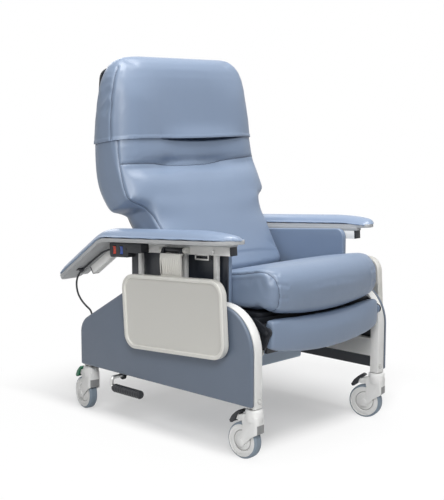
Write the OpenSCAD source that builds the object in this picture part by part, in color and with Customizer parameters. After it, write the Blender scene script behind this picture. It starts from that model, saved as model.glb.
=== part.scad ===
// Patient recliner chair on four braked casters: tube frame with upholstered side panels,
// padded arms, a reclining winged back, a leg rest driven by the back, a tilting seat carriage,
// a fold-up tray on each side and a small heat and massage controller.
// The chair faces -Y, +Z is up, and the middle plane is X = 0. The sitter's right side is -X.

/* [Base frame] */
// Distance from the middle plane to the centre of each leg
leg_x = 283; // [276:1:290]
// Front face of the front legs
leg_front = -388; // [-400:1:-376]
// Rear face of the rear legs
leg_rear = 353; // [340:1:366]
// Underside of the legs above the floor
leg_bottom = 148; // [146:1:152]
// Highest edge of the side frames and side panels
side_top = 427; // [418:1:436]
// Side of the square leg tube
tube = 30; // [26:1:32]
// Thickness of an upholstered side panel
panel_t = 14; // [10:1:18]
// Slope of the rear of the side panels, in degrees
side_slope = 29.5; // [25:0.5:33]

/* [Casters] */
// Diameter of a caster wheel
wheel_d = 104; // [98:1:106]
// Width of the wheel tread
tread_w = 27; // [22:1:28]
// Distance from the swivel axis to the wheel axle
trail = 34; // [30:1:38]

/* [Arms] */
// Distance from the middle plane to the centre line of an arm board
arm_x = 312; // [308:1:316]
// Width of an arm board
arm_w = 86; // [80:1:90]
// Rise of the arm towards its front end, in degrees
arm_tilt = 3.5; // [2.5:0.1:4]
// Further fall of the rear of the arm past its bend, in degrees
arm_slant = 30.5; // [28:0.1:31]
// Thickness of the padding on an arm
arm_pad_t = 24; // [20:1:26]

/* [Seat and back] */
// Half width of the seat cushion and the leg rest
seat_hw = 243; // [236:1:244]
// Front of the rolled seat nose
seat_nose = -424; // [-430:1:-415]
// Highest edge of the winged back
back_top = 1124; // [1110:1:1130]
// Lower edge of the slip-over head cover
hem_z = 869; // [850:1:890]
// How far the head cover stands off the back cushion
cover_t = 5; // [4:0.5:6]

/* [Side trays] */
// Length of a tray, along the arm
tray_l = 415; // [380:5:430]
// Height of a hanging tray
tray_h = 222; // [196:2:226]
// Thickness of a tray over its rim
tray_t = 22; // [18:1:24]
// How much further forward the left tray hangs
tray_shift = 36; // [0:1:40]

/* [Hidden] */
$fn = 64;
SIDES = ["right", "left"];
CORNERS = ["front_right", "front_left", "rear_right", "rear_left"];

// Colours
WHITE = [0.88, 0.88, 0.85];
BLUE = [0.47, 0.54, 0.64];
BLACK = [0.07, 0.07, 0.08];
STEEL = [0.72, 0.72, 0.72];
TREAD = [0.36, 0.41, 0.47];
GREEN = [0.02, 0.4, 0.27];

// Joint axes, each a point [y, z] of a line along X
tilt_axis = [292, 300];
recline_axis = [115, 432];
legrest_axis = [-392, 357];
pedal_axis = [190, 140];
gas_low = [-10, 235];
gas_high = [-180, 350];

// The drive link joins a lever on the back to a lever on the leg rest
recline_range = 34;
legrest_range = 2.2 * recline_range;
legrest_lever = 64;
back_lever = legrest_lever * sin(legrest_range / 2) / sin(recline_range / 2);
back_pin = recline_axis + back_lever * [sin(recline_range / 2), -cos(recline_range / 2)];
legrest_pin = legrest_axis + legrest_lever * [sin(legrest_range / 2), -cos(legrest_range / 2)];

// Base frame
wall = 2;
leg_y = [leg_front + tube / 2, leg_rear - tube / 2];
frame_out = leg_x + tube / 2;
frame_in = leg_x - tube / 2;
front_r = 127;
knee_r = 115;
heel_r = 60;
panel_bottom = 155;
front_c = [leg_front + front_r, side_top - front_r];
knee_y = 117;
knee_run = knee_r * tan(side_slope / 2);
heel_turn = 90 - side_slope;
heel_run = heel_r * tan(heel_turn / 2);
heel_z = side_top - (leg_rear - knee_y) * tan(side_slope);
slope_len = (leg_rear - knee_y) / cos(side_slope) - knee_run - heel_run;
rail_w = 24;
rail_z = [198, 253];

// Arms: the arm frame of reference has its origin under the board at the bend
bend_y = 175;
bend_z = 567;
board_t = 11;
rib_t = 9;
arm_tube = 25;
arm_tube_x = frame_in + arm_tube / 2;
arm_front = -512;
arm_bend_r = 70;
arm_turn = arm_bend_r * PI * arm_slant / 180;
arm_slope_len = 233;
tube_front = -463;
tube_slope_len = 138;
post_y = [-226, -100, 92];
post_w = 14;
panel_in = 250;
panel_front = -258;

// Seat carriage layers outward from the middle plane
rail_out = 222;
plate_t = 6;
lever_in = 229;
link_in = 235.3;
legrest_arm_in = 246;
ear_in = 251.2;
seat_frame_z = [364, 389.5];
seat_board_t = 12;
pin_r = 5;
shaft_r = 10;
fit = 0.05;

// Back cushion: rows of height, half width, front at the edge, rear, and front in the middle
BACK = [
    [440, 226, 0, 58, -8],
    [458, 238, -18, 80, -30],
    [480, 242, -20, 98, -36],
    [540, 242, 12, 142, -4],
    [600, 242, 44, 198, 28],
    [640, 243, 70, 226, 50],
    [668, 244, 76, 250, 65],
    [690, 250, 84, 266, 78],
    [700, 299, 117, 271, 84],
    [714, 305, 124, 278, 92],
    [750, 306, 143, 290, 114],
    [810, 306, 168, 296, 150],
    [872, 305, 182, 298, 166],
    [950, 301, 190, 298, 174],
    [1000, 293, 196, 296, 180],
    [1050, 286, 201, 291, 186],
    [1088, 273, 209, 284, 196],
    [1108, 257, 219, 270, 209],
    [1119, 238, 229, 256, 223],
    [1124, 210, 239, 247, 237]
];
channel_z = 788;
channel_depth = 14;
tuft_x = [-118, 88];
tuft_depth = 12;
// The lower edge of each wing falls towards the rear by this slope
wing_fall = 0.38;
shell_low = 470;

// Controller cable, from the box along the arm and down to the side frame
cable_r = 3;
CABLE = [
    [-308.4, 187.3, 539.2], [-308.4, 203, 537], [-308.4, 238, 525], [-308.4, 275, 503.2],
    [-308.4, 312, 478.7], [-308.4, 344, 457.1], [-308, 361, 442], [-306, 374, 422], [-303, 379, 400],
    [-299, 377, 377], [-294, 366, 356], [-290, 350, 341], [-287, 331.8, 328.4], [-287, 324.95, 316.2]
];
grommet_y = 322;

// Casters: place and resting swivel angle, in the order of CORNERS
caster_at = [
    [-leg_x, leg_y[0], 3], [leg_x, leg_y[0], 15], [-leg_x, leg_y[1], -10], [leg_x, leg_y[1], 8]
];
wheel_r = wheel_d / 2;
tread_t = 8;
fork_hw = 20.5;
fork_gap = 15.4;
brake_axis = [62, 114];

// Tray, in the arm frame of reference
tray_c = [-266, -206];
tray_out = -345;
hinge_x = -306;
hinge_z = -rib_t - arm_tube / 2;
bracket_y = -252;
catch_y = -343;
bracket_w = 84;
bracket_t = 8;
barrel_r = 8;
knuckle_gap = 60;

// Helpers
function sgn(s) = s == "right" ? -1 : 1;
function spow(v, e) = sign(v) * pow(abs(v), e);
function bell(d, w) = exp(-d * d / (w * w));
function arc(c, r, a0, a1, n) = [for (i = [0:n]) let (a = a0 + (a1 - a0) * i / n) c + r * [cos(a), sin(a)]];

// Smooth curve through the rows of a table, column c as a function of column 0
function span_of(t, u, i = 0) = i >= len(t) - 2 || u < t[i + 1][0] ? i : span_of(t, u, i + 1);
function slope_at(t, i, c) =
    let (a = t[max(i - 1, 0)], b = t[min(i + 1, len(t) - 1)]) (b[c] - a[c]) / (b[0] - a[0]);
function value_at(t, u, c) =
    let (i = span_of(t, u), a = t[i], b = t[i + 1], h = b[0] - a[0], s = (u - a[0]) / h)
    (1 + 2 * s) * (1 - s) * (1 - s) * a[c] + s * (1 - s) * (1 - s) * h * slope_at(t, i, c)
    + s * s * (3 - 2 * s) * b[c] - s * s * (1 - s) * h * slope_at(t, i + 1, c);

// Closed skin over rings of equal point counts, with a fan on each end;
// each ring turns anticlockwise about the direction in which the rings follow each other
module skin(rings) {
    n = len(rings[0]);
    m = len(rings);
    function middle(r) = [for (k = [0:2]) [for (p = r) p[k]] * [for (p = r) 1] / n];
    points = concat([for (r = rings) each r], [middle(rings[0]), middle(rings[m - 1])]);
    sides = [for (i = [0:m - 2], j = [0:n - 1]) let (
        a = i * n + j, b = i * n + (j + 1) % n, c = b + n, d = a + n
    ) each [[a, c, b], [a, d, c]]];
    ends = [for (j = [0:n - 1]) each [
        [j, (j + 1) % n, m * n],
        [(m - 1) * n + (j + 1) % n, (m - 1) * n + j, m * n + 1]
    ]];
    polyhedron(points, concat(sides, ends), convexity = 6);
}

// Outline in the YZ plane, pushed out along X from x0 to x1
module along_x(x0, x1) {
    translate([min(x0, x1), 0, 0])
        rotate([90, 0, 90])
            linear_extrude(abs(x1 - x0)) children();
}

// Outline in the XZ plane, pushed out along Y from y0 to y1
module along_y(y0, y1) {
    translate([0, y1, 0])
        rotate([90, 0, 0])
            linear_extrude(y1 - y0) children();
}

// Round bar along X through a point [y, z]
module bar_x(p, r, x0, x1) {
    translate([min(x0, x1), p[0], p[1]])
        rotate([0, 90, 0]) cylinder(r = r, h = abs(x1 - x0));
}

// Flat link between two points with round ends
module link_2d(a, b, w0, w1) {
    d = b - a;
    n = [-d[1], d[0]] / norm(d);
    polygon([a + n * w0, a - n * w0, b - n * w1, b + n * w1]);
    translate(a) circle(w0);
    translate(b) circle(w1);
}

module ring_2d(w, h) {
    difference() {
        square([w, h], center = true);
        square([w - 2 * wall, h - 2 * wall], center = true);
    }
}

module rounded_2d(w, h, r) {
    square([w - 2 * r, h], center = true);
    square([w, h - 2 * r], center = true);
    for (i = [-1, 1], j = [-1, 1])
        translate([i * (w / 2 - r), j * (h / 2 - r)]) circle(r);
}

// Tube that starts upwards and only turns towards +Y; each step is [length] or [turn, radius]
module tube_path(steps, i = 0) {
    if (i < len(steps)) {
        s = steps[i];
        if (len(s) == 1) {
            linear_extrude(s[0]) children();
            translate([0, 0, s[0]]) tube_path(steps, i + 1) children();
        } else {
            translate([0, s[1], 0])
                multmatrix([[0, 0, -1, 0], [-1, 0, 0, 0], [0, 1, 0, 0], [0, 0, 0, 1]])
                    rotate_extrude(angle = s[0]) translate([s[1], 0]) rotate(90) children();
            translate([0, s[1], 0])
                rotate([-s[0], 0, 0])
                    translate([0, -s[1], 0]) tube_path(steps, i + 1) children();
        }
    }
}

// Base frame
module side_frame(side) {
    mid = tube / 2;
    top_run = knee_y - knee_run - front_c[0];
    rise = side_top - front_r - leg_bottom;
    rear_drop = heel_z - heel_run - leg_bottom;
    color(WHITE) {
        translate([sgn(side) * leg_x, leg_y[0], leg_bottom])
            tube_path([
                [rise], [90, front_r - mid], [top_run], [side_slope, knee_r - mid],
                [slope_len], [heel_turn, heel_r - mid], [rear_drop]
            ]) ring_2d(tube, tube);
        translate([sgn(side) * leg_x, leg_y[0] + mid, (rail_z[0] + rail_z[1]) / 2])
            rotate([-90, 0, 0])
                linear_extrude(leg_y[1] - leg_y[0] - tube) ring_2d(rail_w, rail_z[1] - rail_z[0]);
    }
}

module side_outline() {
    polygon(concat(
        [[leg_rear, panel_bottom], [leg_front, panel_bottom]],
        arc(front_c, front_r, 180, 90, 16),
        arc([knee_y - knee_run, side_top - knee_r], knee_r, 90, 90 - side_slope, 6),
        arc([leg_rear - heel_r, heel_z - heel_run], heel_r, heel_turn, 0, 10)
    ));
}

module side_panel(side) {
    color(BLUE)
        along_x(sgn(side) * frame_out, sgn(side) * (frame_out + panel_t)) side_outline();
}

// Cross tubes with the ears that carry the seat carriage and the gas spring
module cross_tubes() {
    rail_face = leg_x - rail_w / 2;
    ear_x = rail_out - 8;
    color(WHITE) {
        for (y = [20, 307])
            translate([0, y, 228])
                rotate([0, 90, 0])
                    linear_extrude(2 * rail_face, center = true) ring_2d(30, 30);
        for (s = [-1, 1])
            difference() {
                along_x(s * (ear_x - plate_t), s * ear_x)
                    union() {
                        polygon([[293, 243], [321, 243], [306, 306], [278, 296]]);
                        translate(tilt_axis) circle(15);
                    }
                bar_x(tilt_axis, pin_r + 3 + fit, s * (ear_x - plate_t - 1), s * (ear_x + 1));
            }
        for (s = [-1, 1])
            along_x(s * 12, s * 17)
                union() {
                    polygon([[5, 216], [5, 240], gas_low + [6, 10], gas_low + [-4, -10]]);
                    translate(gas_low) circle(11);
                }
    }
    color(STEEL) bar_x(gas_low, 4, -12, 12);
}

module kick_panel() {
    half = leg_x - tube / 2 - 0.5;
    color(BLUE)
        difference() {
            along_x(-half, half)
                polygon(concat(
                    [[-79, 156], [-75, 151], [-65, 151], [-65, 200], [44, 200], [44, 213]],
                    arc([-71, 205], 8, 90, 180, 5)
                ));
            translate([24, -90, 140]) cube([16, 40, 16]);
        }
}

module leg_plugs() {
    color(BLACK)
        for (c = caster_at)
            difference() {
                translate([c[0], c[1], leg_bottom + 24])
                    cube([tube - 2 * wall, tube - 2 * wall, 48], center = true);
                translate([c[0], c[1], leg_bottom - 1]) cylinder(r = 8 + fit, h = 50);
            }
}

// Bolt heads on the front legs and screws that hold the arm tubes to their posts
module frame_screws() {
    color(STEEL) {
        for (s = [-1, 1])
            translate([s * (leg_x - 4), leg_front, 168])
                rotate([90, 0, 0]) {
                    cylinder(r = 8, h = 1.5);
                    cylinder(r = 6, h = 5, $fn = 6);
                }
        for (side = SIDES)
            in_arm()
                translate([sgn(side) * (arm_tube_x + arm_tube / 2), post_y[0] - bend_y, hinge_z - 1])
                    rotate([0, sgn(side) * 90, 0]) {
                        cylinder(r = 5, h = 2);
                        cylinder(r = 3.5, h = 4);
                    }
    }
}

// Arms
module in_arm() {
    translate([0, bend_y, bend_z]) rotate([-arm_tilt, 0, 0]) children();
}

// Frame of reference of the sloping rear part of the arm, at the end of the bend
module in_slope() {
    in_arm()
        translate([0, 0, -arm_bend_r])
            rotate([-arm_slant, 0, 0])
                translate([0, 0, arm_bend_r]) children();
}

// Point at height h over the underside of the board, s along the arm from the start of its bend
function arm_point(s, h) =
    s < 0 ? [s, h]
    : s < arm_turn
        ? let (a = arm_slant * s / arm_turn)
            [(arm_bend_r + h) * sin(a), (arm_bend_r + h) * cos(a) - arm_bend_r]
        : let (a = arm_slant, d = s - arm_turn)
            [(arm_bend_r + h) * sin(a) + d * cos(a), (arm_bend_r + h) * cos(a) - arm_bend_r - d * sin(a)];

// Side view of a strip that follows the arm from s0 to s1 between two heights
module arm_strip_2d(s0, s1, h0, h1) {
    steps = concat([s0], [for (i = [0:10]) arm_turn * i / 10], [s1]);
    last = len(steps) - 1;
    polygon(concat(
        [for (s = steps) arm_point(s, h0)],
        [for (i = [last:-1:0]) arm_point(steps[i], h1)]
    ));
}

module arm_frame(side) {
    x = sgn(side) * arm_tube_x;
    half = arm_tube / 2;
    rear = arm_turn + tube_slope_len;
    color(WHITE) {
        in_arm()
            difference() {
                along_x(x - half, x + half) arm_strip_2d(tube_front, rear, -rib_t - arm_tube, -rib_t);
                along_x(x - half + wall, x + half - wall)
                    arm_strip_2d(tube_front - 1, rear + 1, -rib_t - arm_tube + wall, -rib_t - wall);
            }
        for (i = [0:2]) {
            top = bend_z + (bend_y - post_y[i]) * tan(arm_tilt) - rib_t - arm_tube + 1;
            lift = post_w / 2 * tan(arm_tilt);
            along_x(x - 6, x + 6)
                polygon([
                    [post_y[i] - post_w / 2, side_top], [post_y[i] + post_w / 2, side_top],
                    [post_y[i] + post_w / 2, top - lift], [post_y[i] - post_w / 2, top + lift]
                ]);
        }
    }
}

module arm_tube_plugs() {
    bore = arm_tube - 2 * wall - 0.2;
    color(BLACK)
        for (side = SIDES) {
            x = sgn(side) * arm_tube_x;
            in_arm()
                translate([x, tube_front - 2.5, hinge_z]) {
                    cube([arm_tube, 5, arm_tube], center = true);
                    translate([0, 12, 0]) cube([bore, 24, bore], center = true);
                }
            in_slope()
                translate([x, tube_slope_len + 2, hinge_z]) {
                    cube([arm_tube, 4, arm_tube], center = true);
                    translate([0, -10, 0]) cube([bore, 20, bore], center = true);
                }
        }
}

// Plan that trims an arm board: the outer front corner is cut back in a long curve
module arm_plan(side) {
    out = sgn(side);
    half = arm_w / 2;
    edge = half + 3;
    polygon(concat(
        [[-out * edge, 600], [out * edge, 600], [out * edge, arm_front + 99]],
        [for (a = [0:-8:-80]) [out * (half - 70 + 70 * cos(a)), arm_front + 96 + 96 * sin(a)]],
        [for (p = arc([-half + 24, arm_front + 24], 24, -90, -180, 6)) [out * p[0], p[1]]],
        [[-out * edge, arm_front + 27]]
    ));
}

// Plan that rounds the rear corners, in the frame of reference of the slope
module arm_slope_plan() {
    half = arm_w / 2;
    edge = half + 3;
    rear = arm_slope_len;
    polygon(concat(
        [[-edge, rear - 25], [-edge, -700], [edge, -700], [edge, rear - 25]],
        arc([half - 22, rear - 22], 22, 0, 90, 6),
        arc([-half + 22, rear - 22], 22, 90, 180, 6)
    ));
}

module arm_board(side) {
    x = sgn(side) * arm_x;
    rib = sgn(side) * arm_tube_x;
    color(WHITE)
        intersection() {
            in_arm()
                union() {
                    along_x(x - arm_w / 2, x + arm_w / 2)
                        arm_strip_2d(arm_front, arm_turn + arm_slope_len, 0, board_t);
                    along_x(rib - arm_tube / 2, rib + arm_tube / 2)
                        arm_strip_2d(tube_front - 8, arm_turn + arm_slope_len - 40, -rib_t, 2);
                }
            in_arm() translate([x, 0, -400]) linear_extrude(600) arm_plan(side);
            in_slope() translate([x, 0, -500]) linear_extrude(800) arm_slope_plan();
        }
}

// Arm pad: crowned sections along the board, the bend and the slope
module arm_pad(side) {
    rear = arm_turn + arm_slope_len - 3;
    front = arm_front + 3;
    steps = concat(
        [for (f = [0, 0.02, 0.05, 0.1, 0.17]) front + f * 500],
        [-380, -290, -200, -110, -40, 0, 10, 20],
        [for (d = [0, 50, 110, 160]) arm_turn + d],
        [for (d = [34, 16, 6, 0]) rear - d]
    );
    out = sgn(side);
    half = arm_w / 2 - 2;
    n = 18;
    // How far the outer and inner edges draw in, and how the crown dies away, at the two ends
    function outer(s) =
        s < arm_front + 96 ? half - 70 + 70 * sqrt(max(0.02, 1 - pow((arm_front + 96 - s) / 97, 2))) : half;
    function tail(s) = s > rear - 24 ? 24 - sqrt(max(0, 24 * 24 - pow(s - rear + 24, 2))) : 0;
    function nose(s) = s < front + 22 ? 22 - sqrt(max(0, 22 * 22 - pow(front + 22 - s, 2))) : 0;
    function crown(s) = arm_pad_t * (0.3 + 0.7 * sqrt(min(1, (s - front) / 110, (rear - s) / 34)));
    color(BLUE)
        in_arm()
            skin([for (s = steps) [for (j = [0:n - 1]) let (
                a = -out * 360 * j / n,
                lo = -half + nose(s) + tail(s),
                hi = outer(s) - tail(s),
                across = (lo + hi) / 2 + (hi - lo) / 2 * spow(cos(a), 0.6),
                h = board_t + 0.9 + crown(s) * (0.5 + 0.5 * spow(sin(a), sin(a) > 0 ? 0.75 : 0.25)),
                p = arm_point(s, h)
            ) [out * (arm_x + across), p[0], p[1]]]]);
}

// Upholstered panel between the seat and each arm
module arm_panel(side) {
    corner = 26;
    rear = 152;
    low = 372;
    top = 590;
    drop = (rear - panel_front) * tan(arm_tilt) + rib_t - 6;
    color(BLUE)
        along_x(sgn(side) * panel_in, sgn(side) * frame_in)
            polygon(concat(
                [[rear, low], [panel_front + 10, low], [panel_front, low + 10]],
                arc([panel_front + corner, top - corner], corner, 180, 90, 8),
                [[rear, top - drop]]
            ));
}

// Controller, cable and rockers
module control_box() {
    x0 = -arm_tube_x - arm_tube / 2;
    deep = 30;
    color(BLACK)
        in_arm()
            difference() {
                union() {
                    along_x(x0 - deep, x0)
                        union() {
                            translate([-28, -27]) rounded_2d(84, 43, 5);
                            translate([-97, -20]) rounded_2d(66, 28, 5);
                        }
                    along_x(x0 - deep + 6, x0)
                        translate([-67, -20]) square([40, 28], center = true);
                }
                for (y = [-8, -40])
                    translate([x0 - deep, y, -27]) cube([24, 13, 27], center = true);
                translate([x0 - deep, -64, -22]) rotate([0, 90, 0]) cylinder(r = 3, h = 3, center = true);
            }
}

module rocker(y, tint) {
    x0 = -arm_tube_x - arm_tube / 2 - 30;
    color(tint)
        in_arm()
            translate([0, y, -27])
                along_y(-6, 6)
                    polygon(concat(
                        [[x0 + 7, -7], [x0 + 7, 7]],
                        [for (i = [-6:6]) [x0 + 0.5 - 2.2 * pow(i / 6, 2), -2 * i]]
                    ));
}

module massage_rocker() {
    rocker(-40, [0.1, 0.16, 0.55]);
}

module heat_rocker() {
    rocker(-8, [0.7, 0.08, 0.08]);
}

// Catmull-Rom curve through the cable's route, and the tube along it
function route(pts, i, s) =
    let (
        a = pts[max(i - 1, 0)], b = pts[i], c = pts[i + 1], d = pts[min(i + 2, len(pts) - 1)]
    )
    0.5 * (2 * b + (c - a) * s + (2 * a - 5 * b + 4 * c - d) * s * s + (3 * b - a - 3 * c + d) * s * s * s);

module control_cable() {
    sides = 8;
    per = 2;
    last = len(CABLE) - 1;
    line = concat([for (i = [0:last - 1], k = [0:per - 1]) route(CABLE, i, k / per)], [CABLE[last]]);
    m = len(line);
    color(BLACK)
        skin([for (i = [0:m - 1]) let (
            t = line[min(i + 1, m - 1)] - line[max(i - 1, 0)],
            f = t / norm(t),
            u = [1, 0, 0] - f * f[0],
            ux = u / norm(u),
            uy = cross(f, ux)
        ) [for (j = [0:sides - 1]) let (a = 360 * j / sides)
            line[i] + cable_r * (ux * cos(a) + uy * sin(a))]]);
}

// P-clip under the sloping part of the arm, and the grommet where the cable enters the side frame
module cable_clips() {
    z = side_top - (grommet_y - knee_y) * tan(side_slope);
    color(BLACK) {
        in_slope()
            translate([-308.4, 166, 0])
                rotate([90, 0, 0])
                    linear_extrude(14, center = true)
                        difference() {
                            union() {
                                translate([0, -6.2]) circle(5.6);
                                translate([-5.6, -6]) square([11.2, 6]);
                                translate([-16, -2]) square([12, 2]);
                            }
                            translate([0, -6.4]) circle(3.8);
                        }
        translate([-287, grommet_y, z])
            rotate([-side_slope, 0, 0]) {
                cylinder(r = 8, h = 3);
                cylinder(r = 5, h = 6);
            }
    }
}

// Side trays, drawn on the sitter's right and mirrored to the left, where the tray hangs further forward
module on_side(side, shift = tray_shift) {
    mirror([side == "left" ? 1 : 0, 0, 0])
        in_arm()
            translate([0, side == "left" ? -shift : 0, 0]) children();
}

// Hinge pins with the two lugs of each that sit on the arm tube
module tray_hinges() {
    color(BLACK)
        for (side = SIDES)
            on_side(side) {
                translate([hinge_x, bracket_y, hinge_z])
                    rotate([90, 0, 0]) {
                        cylinder(r = 4, h = bracket_w + 26, center = true);
                        cylinder(r = 7.6, h = knuckle_gap - 1.6, center = true);
                    }
                for (s = [-1, 1])
                    translate([0, bracket_y + s * (bracket_w / 2 + 7.3), hinge_z])
                        along_y(-6, 6)
                            union() {
                                translate([hinge_x, 0]) circle(barrel_r);
                                translate([hinge_x, -barrel_r])
                                    square([-arm_tube_x - arm_tube / 2 - hinge_x, 2 * barrel_r]);
                            }
            }
}

// Loops under the arm tubes that hold the tray stays
module tray_catches() {
    color(STEEL)
        for (side = SIDES)
            on_side(side, 0)
                translate([-arm_tube_x, catch_y, -rib_t - arm_tube])
                    rotate([90, 0, 90])
                        linear_extrude(8, center = true)
                            difference() {
                                translate([-28, -16]) square([56, 16]);
                                translate([-24, -12]) square([48, 9]);
                            }
}

module tray_bracket(side) {
    low = tray_c[1] + tray_h / 2 - 70;
    back = tray_out + tray_t;
    rib_low = tray_c[1] + tray_h / 2 + 4;
    color(WHITE)
        on_side(side)
            difference() {
                union() {
                    translate([hinge_x, bracket_y, hinge_z])
                        rotate([90, 0, 0]) cylinder(r = barrel_r, h = bracket_w, center = true);
                    translate([0, bracket_y, 0])
                        along_y(-bracket_w / 2, bracket_w / 2)
                            polygon([
                                [hinge_x - barrel_r, hinge_z + 4], [back, hinge_z - 14], [back, low],
                                [back + bracket_t, low], [back + bracket_t, hinge_z - 18],
                                [hinge_x, hinge_z - barrel_r]
                            ]);
                    for (i = [-5:5])
                        translate([back, bracket_y + i * 8, 0])
                            along_y(-1.2, 1.2)
                                polygon([
                                    [0, hinge_z - 20], [-2, hinge_z - 24], [-2, rib_low + 2], [0, rib_low]
                                ]);
                }
                translate([hinge_x, bracket_y, hinge_z])
                    rotate([90, 0, 0]) cylinder(r = 4 + fit, h = bracket_w + 2, center = true);
                translate([hinge_x - 14, bracket_y - knuckle_gap / 2, hinge_z - 9.4])
                    cube([28, knuckle_gap, 24]);
            }
}

module tray(side) {
    rim = 11;
    sink = 6;
    floor_t = 5;
    r = 45;
    color(WHITE)
        on_side(side)
            translate([0, tray_c[0], tray_c[1]])
                difference() {
                    along_x(tray_out, tray_out + tray_t) rounded_2d(tray_l, tray_h, r);
                    along_x(tray_out - 1, tray_out + sink)
                        rounded_2d(tray_l - 2 * rim, tray_h - 2 * rim, r - rim);
                    difference() {
                        along_x(tray_out + sink + floor_t, tray_out + tray_t + 1)
                            rounded_2d(tray_l - 12, tray_h - 12, r - 6);
                        along_x(tray_out, tray_out + tray_t + 1)
                            translate([bracket_y - tray_c[0], 0]) square([bracket_w, tray_h], center = true);
                    }
                }
}

// Tilt pedal
module pedal_bracket() {
    color(BLACK)
        for (x = [-226, -278])
            difference() {
                along_x(x, x + 6)
                    union() {
                        translate(pedal_axis) circle(14);
                        translate(pedal_axis - [14, 0]) square([28, rail_z[0] - pedal_axis[1]]);
                    }
                bar_x(pedal_axis, 6 + fit, x - 1, x + 7);
            }
    color(BLACK)
        translate([-295, pedal_axis[0] - 14, rail_z[0] - 5]) cube([75, 28, 5]);
}

module pedal_lever() {
    drop = 30;
    reach = -320;
    bend = 9;
    y = pedal_axis[0];
    z = pedal_axis[1] - drop;
    color(STEEL) {
        bar_x(pedal_axis, 6, -213, reach + bend);
        bar_x(pedal_axis, 9, -213, -219.5);
        translate([reach + bend, y, pedal_axis[1] - bend])
            rotate([90, 0, 0]) rotate([0, 0, 90]) rotate_extrude(angle = 90) translate([bend, 0]) circle(6);
        translate([reach, y, z + bend]) cylinder(r = 6, h = drop - 2 * bend);
        translate([reach, y - bend, z + bend])
            rotate([90, 0, 90]) rotate([0, 0, -90]) rotate_extrude(angle = 90) translate([bend, 0]) circle(6);
        translate([reach, 58, z]) rotate([-90, 0, 0]) cylinder(r = 6, h = y - bend - 58);
    }
}

module pedal_sleeve() {
    rows = 11;
    long = 126;
    color(BLACK)
        translate([-320, 54, pedal_axis[1] - 30])
            rotate([-90, 0, 0])
                rotate_extrude()
                    polygon(concat(
                        [[6, long], [6, 4], [0, 4], [0, 0], [11, 0]],
                        [for (i = [0:rows - 1]) each [
                            [13, 4 + i * 11], [13, 10 + i * 11], [11.6, 11 + i * 11], [11.6, 14 + i * 11]
                        ]],
                        [[11, long]]
                    ));
}

// Seat carriage
module seat_plate_2d() {
    difference() {
        union() {
            polygon([
                [40, seat_frame_z[0]], [40, seat_frame_z[1]],
                recline_axis + [-17, 5], recline_axis + [10, 15],
                tilt_axis + [8, 13], tilt_axis + [-6, -14], [150, 352]
            ]);
            translate(recline_axis) circle(18);
            translate(tilt_axis) circle(15);
        }
        translate(recline_axis) circle(shaft_r + fit);
        translate([190, 362]) circle(14);
    }
}

module seat_frame() {
    side_w = 25;
    depth = [-356, 110];
    z0 = seat_frame_z[0];
    h = seat_frame_z[1] - z0;
    ear_out = ear_in + 5;
    color(BLACK) {
        for (s = [-1, 1]) {
            translate([s * (rail_out - side_w / 2), (depth[0] + depth[1]) / 2, z0 + h / 2])
                rotate([90, 0, 0])
                    linear_extrude(depth[1] - depth[0], center = true) ring_2d(side_w, h);
            along_x(s * rail_out, s * (rail_out + plate_t)) seat_plate_2d();
            bar_x(tilt_axis, pin_r + 3, s * (rail_out + plate_t), s * (rail_out - 17));
            along_x(s * ear_in, s * ear_out)
                difference() {
                    link_2d([-348, 377], legrest_axis, 12.5, 12.5);
                    translate(legrest_axis) circle(pin_r + fit);
                }
        }
        translate([0, depth[0] + side_w / 2, z0 + h / 2])
            rotate([0, 90, 0]) linear_extrude(2 * ear_in, center = true) square([h, side_w], center = true);
        for (y = [gas_high[0], depth[1] - side_w / 2])
            translate([0, y, z0 + h / 2])
                rotate([0, 90, 0])
                    linear_extrude(2 * (rail_out - side_w), center = true) ring_2d(h, side_w);
        for (s = [-1, 1])
            along_x(s * 12, s * 17)
                union() {
                    translate(gas_high) circle(10);
                    translate(gas_high - [10, 0]) square([20, z0 - gas_high[1]]);
                }
    }
    color(STEEL) bar_x(gas_high, 4, -12, 12);
}

module seat_board() {
    z0 = seat_frame_z[1];
    color([0.62, 0.5, 0.36])
        translate([0, -155, z0])
            linear_extrude(seat_board_t) rounded_2d(2 * seat_hw - 16, 386, 20);
}

// Seat cushion: wedge with a rolled nose, drawn in towards its two ends
function seat_profile() =
    let (
        low = seat_frame_z[1] + seat_board_t + 0.8,
        nose_r = 63,
        nose = [seat_nose + nose_r, low + nose_r + 3],
        chin_r = 44,
        chin = [seat_nose + chin_r, low - 16 + chin_r],
        rear = -38
    )
    concat(
        arc([rear - 12, low + 52], 12, 0, 90, 3),
        [for (i = [1:5]) let (s = i / 6) [
            (rear - 12) * (1 - s) + nose[0] * s,
            (low + 64) * (1 - s) + (nose[1] + nose_r) * s + 7 * sin(180 * s)
        ]],
        arc(nose, nose_r, 90, 180, 8),
        arc(chin, chin_r, 180, 270, 7),
        [[nose[0] + 10, low], [nose[0] + 60, low], [(nose[0] + rear) / 2, low], [rear - 60, low]],
        arc([rear - 10, low + 10], 10, 270, 360, 3)
    );

module seat_cushion() {
    cols = [-1, -0.985, -0.95, -0.88, -0.76, -0.6, -0.4, -0.2, 0, 0.2, 0.4, 0.6, 0.76, 0.88, 0.95, 0.985, 1];
    hub = [-230, 450];
    color(BLUE)
        skin([for (c = cols) let (
            edge = pow(abs(c), 14),
            fall = 0.1 * edge + 0.018 * c * c,
            nose_in = 10 * c * c
        ) [for (p = seat_profile()) let (
            fore = max(0, (-300 - p[0]) / 124),
            q = hub + (p - hub) * (1 - (p[1] > 410 ? fall : edge * 0.06)),
            lift = p[1] < 440 && p[0] < -330 ? 10 * c * c : 0
        ) [c * seat_hw, q[0] + nose_in * fore, q[1] + lift]]]);
}

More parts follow.
